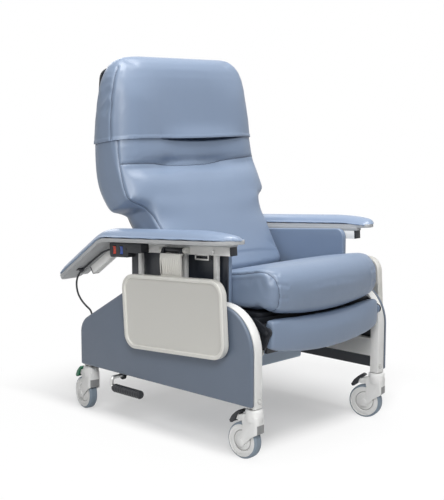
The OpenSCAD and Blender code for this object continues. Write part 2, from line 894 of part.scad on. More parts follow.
// Winged back
function back_front(x, z) =
    let (
        s = min(1, abs(x / value_at(BACK, z, 1))),
        mid = value_at(BACK, z, 4),
        roll = pow(s, 2.5 + 3.5 * bell(z - 700, 50)),
        tuft = tuft_depth * max([for (t = tuft_x) bell(x - t, 46)])
    )
    mid + (value_at(BACK, z, 2) - mid) * roll
    + (channel_depth + tuft) * bell(z - channel_z, 19) * (1 - pow(s, 6));

// Half width of the back at height z and depth y
function back_half(y, z) =
    let (fade = max(0, min(1, (z - 560) / 60, (800 - z) / 60)))
    value_at(BACK, z + wing_fall * max(0, y - value_at(BACK, z, 2)) * fade, 1);

// Ring of the back at height z, grown outwards by g: left side, front, right side and rear
function back_ring(z, g = 0) =
    let (
        w = value_at(BACK, z, 1) + g,
        f = value_at(BACK, z, 2) - g,
        r = value_at(BACK, z, 3),
        cf = min(20, (r - f) * 0.35),
        cr = min(34, (r - f) * 0.45),
        right = concat(
            [for (a = [300, 330, 360]) [w - cf + cf * cos(a), f + cf + cf * sin(a)]],
            [[w + 2, (f + r) / 2]],
            [for (a = [0, 45, 90]) [w - cr + cr * cos(a), r - cr + cr * sin(a)]]
        ),
        front = [for (k = [-5:5]) let (x = (w - cf) * k / 5) [x, back_front(x, z) - g]],
        rear = [for (k = [1, 0, -1]) [(w - cr) * 0.4 * k, r]],
        flat = concat([for (k = [6:-1:0]) [-right[k][0], right[k][1]]], front, right, rear)
    )
    [for (p = flat) [p[0] * (back_half(p[1], z) + g) / w, p[1], z]];

module back_cushion() {
    rows = [
        440, 446, 458, 480, 520, 560, 600, 616, 628, 636, 644, 654, 666, 678, 688, 695, 701, 712, 738,
        764, 776, 788, 800, 814, 840, 876, 930, 990, 1030, 1060, 1086, 1104, 1116, 1122, back_top
    ];
    color(BLUE) skin([for (z = rows) back_ring(z)]);
}

// Slip-over cover on the head of the back: front, both sides and top, open at the rear
module head_cover() {
    rows = [hem_z, 884, 910, 950, 990, 1030, 1060, 1086, 1104, 1116, 1122, back_top];
    gap = 0.8;
    keep = 23;
    m = len(rows);
    function sheet_row(z, g, up) = let (r = back_ring(z, g)) [for (k = [1:keep]) r[k] + [0, 0, up]];
    out = [for (z = rows) each sheet_row(z, cover_t, z == back_top ? cover_t : 0)];
    inn = [for (z = rows) each sheet_row(z, gap, z == back_top ? gap : 0)];
    o = m * keep;
    last = (m - 1) * keep;
    function quad(a, b, c, d) = [[a, b, c], [a, c, d]];
    color(BLUE)
        polyhedron(
            concat(out, inn),
            concat(
                [for (i = [0:m - 2], j = [0:keep - 2]) let (a = i * keep + j, d = a + keep)
                    each quad(a, d, d + 1, a + 1)],
                [for (i = [0:m - 2], j = [0:keep - 2]) let (a = o + i * keep + j, d = a + keep)
                    each quad(a, a + 1, d + 1, d)],
                [for (j = [0:keep - 2]) each quad(j, j + 1, o + j + 1, o + j)],
                [for (i = [0:m - 2]) let (a = i * keep, d = a + keep) each quad(a, o + a, o + d, d)],
                [for (i = [0:m - 2]) let (a = i * keep + keep - 1, d = a + keep)
                    each quad(a, d, o + d, o + a)],
                [for (j = [1:keep - 2]) [last, last + j + 1, last + j]],
                [for (j = [1:keep - 2]) [o + last, o + last + j, o + last + j + 1]],
                quad(last, o + last, o + last + keep - 1, last + keep - 1)
            ),
            convexity = 8
        );
}

// Strip that follows the rear of the back upwards from its lower edge, d0 to d1 behind it
module rear_strip_2d(d0, d1, n) {
    function rear_point(i, d) = let (z = shell_low + 15.5 * i) [value_at(BACK, z, 3) + d, z];
    polygon(concat([for (i = [0:n]) rear_point(i, d0)], [for (i = [n:-1:0]) rear_point(i, d1)]));
}

module shell_outline(half, low, top, corner) {
    waist = 218;
    polygon(concat(
        arc([half - corner, top - corner], corner, 0, 90, 6),
        arc([-half + corner, top - corner], corner, 90, 180, 6),
        [[-half, 760], [-half + 14, 716], [-waist, 656], [-waist, low]],
        [[waist, low], [waist, 656], [half - 14, 716], [half, 760]]
    ));
}

module back_shell() {
    color(BLACK)
        intersection() {
            along_x(-320, 320) rear_strip_2d(2.5, 10, 40);
            along_y(0, 400) shell_outline(262, shell_low, 1090, 34);
        }
}

// Pivot shaft with the two drive levers, and the straps that carry the back
module back_frame() {
    strap = [130, 172];
    color(BLACK) {
        bar_x(recline_axis, shaft_r, -lever_in - 5, lever_in + 5);
        for (s = [-1, 1]) {
            along_x(s * lever_in, s * (lever_in + 5)) link_2d(recline_axis, back_pin, 16, 10);
            bar_x(back_pin, pin_r, s * lever_in, s * (link_in + 5.2));
            along_x(s * strap[0], s * strap[1])
                union() {
                    rear_strip_2d(10, 16, 11);
                    polygon([
                        recline_axis + [-9, 4], recline_axis + [9, -4],
                        [value_at(BACK, 485.5, 3) + 16, 485.5], [value_at(BACK, shell_low, 3) + 10, shell_low]
                    ]);
                }
        }
    }
}

module push_bar() {
    z = 930;
    half = 190;
    r = 11;
    bend = 30;
    base = value_at(BACK, z, 3) + 9.98;
    out = base + 50;
    color(BLACK) {
        translate([-half + bend, out, z]) rotate([0, 90, 0]) cylinder(r = r, h = 2 * (half - bend));
        for (s = [-1, 1]) {
            translate([s * half, base, z]) rotate([-90, 0, 0]) cylinder(r = r, h = out - bend - base);
            translate([s * half, base, z]) rotate([-90, 0, 0]) cylinder(r = 22, h = 5);
            translate([s * (half - bend), out - bend, z])
                mirror([s < 0 ? 1 : 0, 0, 0])
                    rotate_extrude(angle = 90) translate([bend, 0]) circle(r);
        }
    }
}

// Leg rest
module legrest_board() {
    back = -374;
    thick = 10;
    arm_out = legrest_arm_in + 4.5;
    color(BLACK) {
        difference() {
            along_y(back, back + thick) translate([0, 334]) rounded_2d(2 * legrest_arm_in, 84, 12);
            along_y(back - 1, back + thick + 1) {
                translate([0, 334]) rounded_2d(300, 40, 14);
                for (s = [-1, 1])
                    translate([s * 243, 306]) square([20, 52], center = true);
            }
        }
        for (s = [-1, 1]) {
            along_x(s * legrest_arm_in, s * arm_out)
                union() {
                    link_2d(legrest_axis, legrest_pin, 12, 10);
                    polygon([
                        [back + thick, 305], [back + thick, 365], legrest_axis + [10, 0],
                        legrest_axis + [-10, 0], [back - 6, 305]
                    ]);
                }
            bar_x(legrest_axis, pin_r, s * arm_out, s * (ear_in + 6));
            bar_x(legrest_pin, pin_r, s * legrest_arm_in, s * (link_in - 1));
        }
    }
}

module legrest_pad() {
    cols = [-1, -0.985, -0.95, -0.88, -0.74, -0.5, -0.25, 0, 0.25, 0.5, 0.74, 0.88, 0.95, 0.985, 1];
    n = 26;
    rear = -374.5;
    color(BLUE)
        skin([for (c = cols) let (
            edge = pow(abs(c), 12),
            low = 280 + 24 * c * c + 6 * edge,
            top = 380 + 14 * c * c - 6 * edge,
            front = -417 + 8 * c * c + 6 * edge
        ) [for (j = [0:n - 1]) let (
            a = 360 * (j + 0.5) / n,
            y = (front + rear) / 2 + (rear - front) / 2 * spow(cos(a), cos(a) > 0 ? 0.25 : 0.6),
            z = (low + top) / 2 + (top - low) / 2 * spow(sin(a), 0.5)
        ) [c * seat_hw, y, z]]]);
}

// Flat links from the back levers to the leg rest levers, slotted at the front
module drive_links() {
    slot = 10.5;
    slot_r = pin_r + 1.5;
    d = legrest_pin - back_pin;
    n = 9 * [-d[1], d[0]] / norm(d);
    middle = legrest_pin - [0, 3.7];
    color(STEEL)
        for (s = [-1, 1])
            difference() {
                along_x(s * link_in, s * (link_in + 4))
                    union() {
                        polygon([back_pin + n, back_pin - n, legrest_pin - n, legrest_pin + n]);
                        translate(back_pin) circle(11);
                        translate(middle) rounded_2d(23, 2 * slot + 16, 9);
                    }
                bar_x(back_pin, pin_r + fit, s * (link_in - 1), s * (link_in + 5));
                along_x(s * (link_in - 1), s * (link_in + 5))
                    polygon(concat(
                        arc(middle + [0, slot - slot_r], slot_r, 0, 180, 10),
                        arc(middle - [0, slot - slot_r], slot_r, 180, 360, 10)
                    ));
            }
}

// Gas spring that carries the tilt of the seat carriage
gas_dir = (gas_high - gas_low) / norm(gas_high - gas_low);
gas_len = norm(gas_high - gas_low);

module in_gas() {
    translate([0, gas_low[0], gas_low[1]])
        rotate([-atan2(-gas_dir[1], gas_dir[0]) - 90, 0, 0]) children();
}

module gas_cylinder() {
    color(BLACK)
        in_gas()
            difference() {
                union() {
                    rotate([0, 90, 0]) cylinder(r = 8, h = 16, center = true);
                    cylinder(r = 6, h = 20);
                    translate([0, 0, 16]) cylinder(r = 11, h = 112);
                }
                rotate([0, 90, 0]) cylinder(r = 4 + fit, h = 20, center = true);
                translate([0, 0, 40]) cylinder(r = 4 + fit, h = 100);
            }
}

module gas_rod() {
    color(STEEL)
        in_gas()
            difference() {
                union() {
                    translate([0, 0, 78]) cylinder(r = 4, h = gas_len - 88);
                    translate([0, 0, gas_len]) rotate([0, 90, 0]) cylinder(r = 11, h = 14, center = true);
                }
                translate([0, 0, gas_len]) rotate([0, 90, 0]) cylinder(r = 7.2, h = 20, center = true);
            }
}

// Casters, in their own frame: swivel axis on Z, wheel trailing towards +Y
module at_caster(i) {
    c = caster_at[i];
    translate([c[0], c[1], 0]) rotate([0, 0, c[2]]) children();
}

module fork_2d() {
    polygon([
        [-23, 126], [-25, 82], [-20, 78], [0, 66], [trail - 14, wheel_r - 6], [trail + 12, wheel_r - 6],
        [trail + 10, wheel_r + 8], [trail - 2, 72], [27, 84], [25, 99], [28, 112], [26, 128], [22, 132]
    ]);
    translate([trail, wheel_r]) circle(15);
}

// Tail over the wheel that carries the brake pedal
module fork_tail_2d() {
    polygon([[10, 112], [44, 107], [58, 108.5], [70.5, 110], [70.5, 116], [58, 121], [24, 130], [10, 131]]);
}

module caster_fork(i) {
    color(WHITE)
        at_caster(i) {
            difference() {
                union() {
                    intersection() {
                        along_x(-fork_hw, fork_hw) fork_2d();
                        linear_extrude(140)
                            union() {
                                circle(27);
                                translate([-fork_hw, 0]) square([2 * fork_hw, 60]);
                            }
                    }
                    along_x(-9, 9) fork_tail_2d();
                    translate([0, 0, 112])
                        rotate_extrude()
                            polygon([[0, 0], [23, 0], [25, 4], [25, 30], [22, 34], [0, 34]]);
                }
                translate([-fork_gap, trail, wheel_r])
                    rotate([0, 90, 0]) cylinder(r = wheel_r + 5, h = 2 * fork_gap);
                bar_x(brake_axis, 2.5 + fit, -12, 12);
            }
            bar_x([trail, wheel_r], 5, -fork_hw, fork_hw);
            for (s = [-1, 1])
                bar_x([trail, wheel_r], 9, s * fork_hw, s * (fork_hw + 2));
            translate([0, 0, 140]) cylinder(r = 8, h = leg_bottom - 140 + 44);
        }
}

module caster_wheel(i) {
    rim_r = wheel_r - tread_t;
    half = tread_w / 2;
    color(WHITE)
        at_caster(i)
            translate([0, trail, wheel_r])
                rotate([0, 90, 0])
                    rotate_extrude()
                        polygon([
                            [5 + fit, -half - 1], [13, -half - 1], [15, -half + 1], [26, -half + 2.5],
                            [27.5, -half + 5], [30, -half + 5], [31.5, -half + 2], [rim_r, -half + 2],
                            [rim_r, half - 2], [31.5, half - 2], [30, half - 5], [27.5, half - 5],
                            [26, half - 2.5], [15, half - 1], [13, half + 1], [5 + fit, half + 1]
                        ]);
}

module caster_tyre(i) {
    rim_r = wheel_r - tread_t;
    half = tread_w / 2;
    soft = 7;
    color(TREAD)
        at_caster(i)
            translate([0, trail, wheel_r])
                rotate([0, 90, 0])
                    rotate_extrude()
                        difference() {
                            union() {
                                translate([rim_r + 0.02, -half + soft])
                                    square([tread_t - 0.02, 2 * half - 2 * soft]);
                                translate([rim_r + 0.02, -half + 1.5]) square([tread_t - soft, 2 * half - 3]);
                                for (s = [-1, 1])
                                    translate([wheel_r - soft, s * (half - soft)]) circle(soft);
                            }
                            square([2 * rim_r + 0.04, 3 * half], center = true);
                        }
}

module caster_pedal(i) {
    color(i == 2 ? GREEN : BLACK)
        at_caster(i) {
            difference() {
                along_x(-14, 14)
                    polygon([
                        [36, 131], [39, 136], [47, 137], [57, 130], [70, 118], [79, 103], [76, 97], [69, 98],
                        [58, 106], [54, 118], [48, 127]
                    ]);
                along_x(-9.6, 9.6)
                    polygon([[30, 90], [72.8, 90], [72.8, 117], [58, 122.6], [46, 126], [30, 130.4]]);
            }
            bar_x(brake_axis, 2.5, -14, 14);
        }
}

// Assembly
for (s = SIDES) {
    side_frame(s);
    side_panel(s);
    arm_frame(s);
    arm_board(s);
    arm_pad(s);
    arm_panel(s);
    tray_bracket(s);
    tray(s);
}
for (i = [0:3]) {
    caster_fork(i);
    caster_wheel(i);
    caster_tyre(i);
    caster_pedal(i);
}
cross_tubes();
kick_panel();
leg_plugs();
frame_screws();
arm_tube_plugs();
control_box();
control_cable();
cable_clips();
massage_rocker();
heat_rocker();
tray_hinges();
tray_catches();
pedal_bracket();
pedal_lever();
pedal_sleeve();
seat_frame();
seat_board();
seat_cushion();
back_frame();
back_shell();
back_cushion();
head_cover();
push_bar();
legrest_board();
legrest_pad();
drive_links();
gas_cylinder();
gas_rod();
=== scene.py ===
import math

import bmesh
import bpy
import numpy as np
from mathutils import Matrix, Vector, kdtree
from mathutils.bvhtree import BVHTree


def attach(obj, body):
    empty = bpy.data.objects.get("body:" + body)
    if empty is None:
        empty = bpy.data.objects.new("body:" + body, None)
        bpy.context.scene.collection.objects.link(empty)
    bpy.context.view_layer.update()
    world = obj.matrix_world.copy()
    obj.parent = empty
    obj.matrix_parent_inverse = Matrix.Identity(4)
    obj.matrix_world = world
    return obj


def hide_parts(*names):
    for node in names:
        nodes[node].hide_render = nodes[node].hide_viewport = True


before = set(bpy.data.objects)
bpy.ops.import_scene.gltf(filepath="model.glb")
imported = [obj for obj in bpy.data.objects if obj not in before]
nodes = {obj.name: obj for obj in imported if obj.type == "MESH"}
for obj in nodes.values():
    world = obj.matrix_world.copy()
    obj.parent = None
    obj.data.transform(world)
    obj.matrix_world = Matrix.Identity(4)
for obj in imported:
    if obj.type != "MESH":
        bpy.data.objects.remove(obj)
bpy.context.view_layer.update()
scene = bpy.context.scene
sides = {"right": -1, "left": 1}
print("frame loaded:", len(nodes), "nodes")


# camera, at the photograph's viewing angle
lookSet = {"place": (-2.343, -2.253, 0.956), "turn": -45.79, "dip": 7.56, "lens": 75.3}


def makeCamera():
    data = bpy.data.cameras.new("chairCamera")
    data.sensor_width = 36
    data.lens = lookSet["lens"]
    data.clip_end = 60
    camera = bpy.data.objects.new("chairCamera", data)
    camera.location = lookSet["place"]
    camera.rotation_euler = (math.radians(90 - lookSet["dip"]), 0, math.radians(lookSet["turn"]))
    scene.collection.objects.link(camera)
    scene.camera = camera


makeCamera()


# small helpers for meshes and lines

def newObject(name, data, *materials):
    obj = bpy.data.objects.new(name, data)
    scene.collection.objects.link(obj)
    for material in materials:
        data.materials.append(material)
    return obj


def readPoints(mesh):
    flat = np.empty(len(mesh.vertices) * 3)
    mesh.vertices.foreach_get("co", flat)
    return flat.reshape(-1, 3)


def readNormals(mesh):
    flat = np.empty(len(mesh.vertices) * 3)
    mesh.vertex_normals.foreach_get("vector", flat)
    return flat.reshape(-1, 3)


def writePoints(mesh, points):
    mesh.vertices.foreach_set("co", np.asarray(points, float).ravel())
    mesh.update()


def smoothLine(points, step=0.002):
    # one smooth curve through the points, in even short steps
    pts = np.array(points, float)
    ends = np.vstack([2 * pts[0] - pts[1], pts, 2 * pts[-1] - pts[-2]])
    out = []
    for a, b, c, d in zip(ends, ends[1:], ends[2:], ends[3:]):
        count = max(2, int(np.linalg.norm(c - b) / step))
        s = np.linspace(0, 1, count, endpoint=False)[:, None]
        out.append(0.5 * (2 * b + (c - a) * s + (2 * a - 5 * b + 4 * c - d) * s**2
                          + (3 * b - a - 3 * c + d) * s**3))
    return np.vstack(out + [pts[-1:]])


def mirrored(points, sign):
    # route drawn on the sitter's right, carried to the other side
    return [(-sign * x, y, z) for x, y, z in points]


def drawCurve(name, lines, thick=0, rings=0):
    # one curve object with a straight-pointed spline for each line
    data = bpy.data.curves.new(name, "CURVE")
    data.dimensions = "3D"
    data.bevel_depth = thick / 2
    data.bevel_resolution = rings
    for line in lines:
        spline = data.splines.new("POLY")
        spline.points.add(len(line) - 1)
        for point, place in zip(spline.points, line):
            point.co = (*place, 1)
    return newObject(name, data)


def meshFrom(holder, name):
    # the evaluated mesh of a helper object, which then goes
    bpy.context.view_layer.update()
    mesh = bpy.data.meshes.new_from_object(holder.evaluated_get(bpy.context.evaluated_depsgraph_get()))
    bpy.data.objects.remove(holder)
    mesh.name = name
    return mesh


def bakeModifiers(obj):
    # the evaluated mesh takes the place of the object's own, and the modifiers go
    bpy.context.view_layer.update()
    done = bpy.data.meshes.new_from_object(obj.evaluated_get(bpy.context.evaluated_depsgraph_get()))
    old = obj.data
    obj.modifiers.clear()
    obj.data = done
    done.name = obj.name
    if not old.users:
        bpy.data.meshes.remove(old)
    return obj


def span(value, ends):
    # straight rise from 0 at the first end to 1 at the second
    start, end = ends
    return np.clip((value - start) / (end - start), 0, 1)


def ramp(value, ends):
    # the same rise, eased at both ends
    t = span(value, ends)
    return t * t * (3 - 2 * t)


def shadeSmooth(obj):
    obj.data.polygons.foreach_set("use_smooth", [True] * len(obj.data.polygons))
    obj.data.update()


# control cable: from the back of the controller, along the arm, into the side frame
cableSet = {
    "thick": 0.006, "length": 0.355, "step": 0.006,
    "route": [
        (-0.3084, 0.1873, 0.5392), (-0.3084, 0.203, 0.537), (-0.3084, 0.238, 0.525),
        (-0.3084, 0.275, 0.5032), (-0.3084, 0.312, 0.4787), (-0.3084, 0.344, 0.4571),
        (-0.308, 0.361, 0.442), (-0.306, 0.374, 0.422), (-0.303, 0.379, 0.400),
        (-0.299, 0.377, 0.377), (-0.294, 0.366, 0.356), (-0.290, 0.350, 0.341),
        (-0.287, 0.3318, 0.3284), (-0.287, 0.32495, 0.3162),
    ],
}


def makeCable():
    line = smoothLine(cableSet["route"], cableSet["step"])
    cable = drawCurve("controlCable", [line], cableSet["thick"], 4)
    cable.data.use_fill_caps = True
    cable.data.splines[0].use_smooth = True
    length = float(np.linalg.norm(np.diff(line, axis=0), axis=1).sum())
    print("cable length", round(length, 4))
    return cable


cable = makeCable()


# shader wiring

class Wire:
    # a socket that takes part in plain arithmetic
    def __init__(self, tree, socket):
        self.tree = tree
        self.socket = socket

    def calc(self, operation, other, swapped=False):
        made = self.tree.nodes.new("ShaderNodeMath")
        made.operation = operation
        for slot, value in zip(made.inputs, (other, self) if swapped else (self, other)):
            if isinstance(value, Wire):
                self.tree.links.new(value.socket, slot)
            else:
                slot.default_value = value
        return Wire(self.tree, made.outputs[0])

    def __add__(self, other):
        return self.calc("ADD", other)

    def __radd__(self, other):
        return self.calc("ADD", other, True)

    def __sub__(self, other):
        return self.calc("SUBTRACT", other)

    def __rsub__(self, other):
        return self.calc("SUBTRACT", other, True)

    def __mul__(self, other):
        return self.calc("MULTIPLY", other)

    def __rmul__(self, other):
        return self.calc("MULTIPLY", other, True)

    def __abs__(self):
        return self.calc("ABSOLUTE", 0)


class Finish:
    # one material: its node tree and the main shader
    def __init__(self, name, constants=None):
        self.material = bpy.data.materials.new(name)
        self.material.use_nodes = True
        self.tree = self.material.node_tree
        self.shader = self.tree.nodes["Principled BSDF"]
        for key, value in (constants or {}).items():
            self.shader.inputs[key].default_value = value

    def add(self, kind, settings=None, inputs=None, output=0):
        made = self.tree.nodes.new(kind)
        for key, value in (settings or {}).items():
            setattr(made, key, value)
        for key, value in (inputs or {}).items():
            if isinstance(value, Wire):
                self.tree.links.new(value.socket, made.inputs[key])
            else:
                made.inputs[key].default_value = value
        return Wire(self.tree, made.outputs[output])

    def place(self):
        return self.add("ShaderNodeTexCoord", output="Object")

    def part(self, vector, axis):
        return self.add("ShaderNodeSeparateXYZ", inputs={"Vector": vector}, output=axis)

    def noise(self, scale, detail=3, rough=0.5, where=None):
        values = {"Vector": where or self.place(), "Scale": scale, "Detail": detail, "Roughness": rough}
        return self.add("ShaderNodeTexNoise", inputs=values)

    def cells(self, scale, feature="F1", where=None):
        values = {"Vector": where or self.place(), "Scale": scale}
        return self.add("ShaderNodeTexVoronoi", {"feature": feature}, values)

    def band(self, value, low, high):
        # 0 below low, 1 above high, soft between
        values = {0: value, 1: low, 2: high}
        return self.add("ShaderNodeMapRange", {"interpolation_type": "SMOOTHSTEP"}, values)

    def blend(self, factor, first, second, how="MIX"):
        settings = {"data_type": "RGBA", "blend_type": how, "clamp_factor": True}
        return self.add("ShaderNodeMix", settings, {0: factor, 6: first, 7: second}, 2)

    def bump(self, height, strength, distance):
        values = {"Height": height, "Strength": strength, "Distance": distance}
        return self.add("ShaderNodeBump", inputs=values, output="Normal")

    def feed(self, **wires):
        names = {"colour": "Base Color", "rough": "Roughness", "normal": "Normal", "metal": "Metallic"}
        for key, wire in wires.items():
            self.tree.links.new(wire.socket, self.shader.inputs[names[key]])
        return self.material


def seenRays(tree):
    # 1 for what the camera sees straight on, mirrored or through glass, 0 for bounced light
    path = tree.nodes.new("ShaderNodeLightPath")
    seen = Wire(tree, path.outputs["Is Camera Ray"]) + Wire(tree, path.outputs["Is Glossy Ray"])
    return seen + Wire(tree, path.outputs["Is Transmission Ray"])


def shade(colour, gain):
    return tuple(min(1, c * gain) for c in colour[:3]) + (1,)


# finishes of the chair
colours = {
    "vinyl": (0.205, 0.267, 0.375, 1),
    # painted shade: the side panels' vinyl is a darker copy of the blue vinyl
    "panel": (0.136, 0.172, 0.232, 1),
    # painted shade: near black for the panel faces that lie in shade
    "paintedFaceShade": (0.010, 0.014, 0.023, 1),
    "paint": (0.89, 0.89, 0.875, 1),
    "tray": (0.79, 0.78, 0.735, 1),
    "caster": (0.87, 0.87, 0.86, 1),
    "board": (0.47, 0.48, 0.49, 1),
    "tread": (0.245, 0.30, 0.36, 1),
    "black": (0.014, 0.016, 0.021, 1),
    "zinc": (0.62, 0.62, 0.61, 1),
    "thread": (0.30, 0.37, 0.48, 1),
    # painted light: the kick panel's vinyl is a lighter copy of the blue vinyl
    "kick": (0.48, 0.595, 0.75, 1),
    # painted shade for the groove round the caster hubs
    "groove": (0.16, 0.155, 0.15, 1),
    "insert": (0.17, 0.175, 0.18, 1),
    "blue": (0.045, 0.1, 0.42, 1),
    "red": (0.62, 0.06, 0.03, 1),
    "green": (0.0, 0.142, 0.062, 1),
}


def vinylFinish(name, tint, grain=1300, gloss=0.37, relief=0.16, mark=None):
    # upholstery vinyl: pebbled grain, slow mottling, a soft sheen that varies with handling
    paint = Finish(name, {"Specular IOR Level": 0.6, "IOR": 1.5})
    where = paint.place()
    slow = paint.noise(7, 2, 0.55, where)
    middle = paint.noise(85, 3, 0.6, where)
    pebble = paint.cells(grain, "SMOOTH_F1", where)
    fine = paint.noise(grain * 1.9, 2, 0.6, where)
    tone = paint.blend(slow, shade(tint, 0.95), shade(tint, 1.05))
    tone = paint.blend(paint.band(pebble, 0.25, 0.75) * 0.22, tone, shade(tint, 0.86))
    if mark:
        tone = paint.blend(mark["where"](paint, where), tone, mark["tint"])
    height = pebble * 0.8 + fine * 0.35 + middle * 0.25
    return paint.feed(
        colour=tone,
        rough=gloss + 0.14 * middle - 0.05 * slow,
        normal=paint.bump(height, relief, 0.0006),
    )


def paintFinish(name, tint, gloss=0.34, peel=420, shine=0.5):
    # powder coat: faint orange peel, a little dust and uneven gloss
    paint = Finish(name, {"Specular IOR Level": shine})
    where = paint.place()
    skin = paint.noise(peel, 2, 0.45, where)
    dust = paint.noise(14, 4, 0.6, where)
    tone = paint.blend(paint.band(dust, 0.42, 0.75) * 0.5, tint, shade(tint, 0.93))
    return paint.feed(
        colour=tone,
        rough=gloss + 0.16 * dust,
        normal=paint.bump(skin, 0.12, 0.0005),
    )


def plasticFinish(name, tint, gloss=0.45, texture=1500, relief=0.1, mark=None):
    # moulded plastic: fine spark texture and a slight flow pattern
    paint = Finish(name)
    where = paint.place()
    spark = paint.noise(texture, 2, 0.6, where)
    flow = paint.noise(18, 3, 0.5, where)
    tone = paint.blend(flow, shade(tint, 0.96), shade(tint, 1.03))
    if mark:
        tone = paint.blend(mark["where"](paint, where), tone, mark["tint"])
    return paint.feed(
        colour=tone,
        rough=gloss + 0.12 * flow,
        normal=paint.bump(spark, relief, 0.0004),
    )


def metalFinish(name, tint, gloss=0.3):
    # zinc plate: fine drawn lines and cloudy patches
    paint = Finish(name, {"Metallic": 1.0})
    stretched = paint.add("ShaderNodeMapping", inputs={"Vector": paint.place(), "Scale": (40, 1, 1)})
    lines = paint.noise(60, 3, 0.6, stretched)
    cloud = paint.noise(45, 3, 0.55)
    tone = paint.blend(cloud, shade(tint, 0.82), shade(tint, 1.08))
    return paint.feed(
        colour=tone,
        rough=gloss + 0.2 * cloud,
        normal=paint.bump(lines, 0.08, 0.0003),
    )


# places on a part that carry another colour: a share between 0 and 1, from the object's own coordinates

# painted shade on the inner faces of the side panels and the outer faces of the arm panels; then where the
# leg rest cover wraps its board
panelSet = {
    "sideShadedFace": 0.298, "armShadedFace": 0.268, "shadedFaceEdge": (0.0025, 0.004), "wrapFrom": (0.236, 0.238),
}
traySet = {
    "recessFloor": 0.339, "recessEdge": (0.0008, 0.0016), "recessPaintedShade": 0.86, "strapPaintedShade": 0.88,
    "armSlope": 0.0612, "knuckle": (0.5467, 0.5477),
    "hingeMiddle": 0.0958, "hingeStep": 0.018, "lugFrom": (0.0418, 0.0424),
}
# place on the floor and turn of each caster
casterPlaces = {
    "front_right": (-0.283, -0.372, 3), "front_left": (0.283, -0.372, 15),
    "rear_right": (-0.283, 0.338, -10), "rear_left": (0.283, 0.338, 8),
}
casterSet = {
    "trail": 0.034, "axle": 0.052, "gloss": 0.38,
    "grooveIn": (0.0272, 0.0279), "grooveOut": (0.0297, 0.0304), "grooveShadeShare": 0.6,
    "rimTop": (0.0456, 0.0462),
    "insertTop": (0.1035, 0.1045), "insertFront": (0.0165, 0.0172), "insertSide": (0.0150, 0.0158),
    "insertShare": 0.85,
}


def shadedFaceMark(distance):
    # painted shade: the face that lies at this distance from the middle plane is coloured near black,
    # standing in for the shade it lies in
    def where(paint, spot):
        off = abs(abs(paint.part(spot, "X")) - distance)
        return 1 - paint.band(off, *panelSet["shadedFaceEdge"])
    return {"tint": colours["paintedFaceShade"], "where": where}


def recessShadeMark():
    # painted shade: the floor of the tray's shallow recess is coloured darker than the rim
    def where(paint, spot):
        off = abs(abs(paint.part(spot, "X")) - traySet["recessFloor"])
        return 1 - paint.band(off, *traySet["recessEdge"])
    return {"tint": shade(colours["tray"], traySet["recessPaintedShade"]), "where": where}


def knuckleMark():
    # upper end of the tray strap, where it takes the hinge bar; the arm falls 3.5 degrees to the rear
    def where(paint, spot):
        height = paint.part(spot, "Z") + traySet["armSlope"] * paint.part(spot, "Y")
        return paint.band(height, *traySet["knuckle"])
    return {"tint": colours["black"], "where": where}


def lugMark():
    # pale lugs outside the hinge bar; the two bars stand 36 mm apart along the chair
    def where(paint, spot):
        side = paint.part(spot, "X").calc("SIGN", 0)
        along = paint.part(spot, "Y") + traySet["hingeMiddle"] + traySet["hingeStep"] * side
        return paint.band(abs(along), *traySet["lugFrom"])
    return {"tint": colours["tray"], "where": where}


def axleReach(corner):
    # distance from the wheel's axle
    x, y, turn = casterPlaces[corner]
    angle = math.radians(turn)
    trail = casterSet["trail"]
    centre = (x - trail * math.sin(angle), y + trail * math.cos(angle), casterSet["axle"])
    axis = (math.cos(angle), math.sin(angle), 0)

    def reach(paint, spot):
        arm = paint.add("ShaderNodeVectorMath", {"operation": "SUBTRACT"}, {0: spot, 1: centre})
        turned = paint.add("ShaderNodeVectorMath", {"operation": "CROSS_PRODUCT"}, {0: arm, 1: axis})
        return paint.add("ShaderNodeVectorMath", {"operation": "LENGTH"}, {0: turned}, "Value")
    return reach


def grooveShadeMark(corner):
    # painted shade: a dark ring where the groove round the hub lies
    reach = axleReach(corner)

    def where(paint, spot):
        away = reach(paint, spot)
        ring = paint.band(away, *casterSet["grooveIn"]) * (1 - paint.band(away, *casterSet["grooveOut"]))
        return casterSet["grooveShadeShare"] * ring
    return {"tint": colours["groove"], "where": where}


def flangeMark(corner):
    # the white rim reaches up the side of the tread
    reach = axleReach(corner)

    def where(paint, spot):
        return 1 - paint.band(reach(paint, spot), *casterSet["rimTop"])
    return {"tint": colours["caster"], "where": where}


def insertMark(corner):
    # steel insert low on the front of the fork
    x, y, turn = casterPlaces[corner]
    sine, cosine = math.sin(math.radians(turn)), math.cos(math.radians(turn))

    def where(paint, spot):
        aside, along = paint.part(spot, "X") - x, paint.part(spot, "Y") - y
        ahead = aside * sine - along * cosine
        across = abs(aside * cosine + along * sine)
        low = 1 - paint.band(paint.part(spot, "Z"), *casterSet["insertTop"])
        front = paint.band(ahead, *casterSet["insertFront"])
        inside = 1 - paint.band(across, *casterSet["insertSide"])
        return casterSet["insertShare"] * low * (front * inside)
    return {"tint": colours["insert"], "where": where}


def wrapMark():
    # the cover of the leg rest is drawn round the left end of its board
    def where(paint, spot):
        return paint.band(paint.part(spot, "X"), *panelSet["wrapFrom"])
    return {"tint": colours["vinyl"], "where": where}


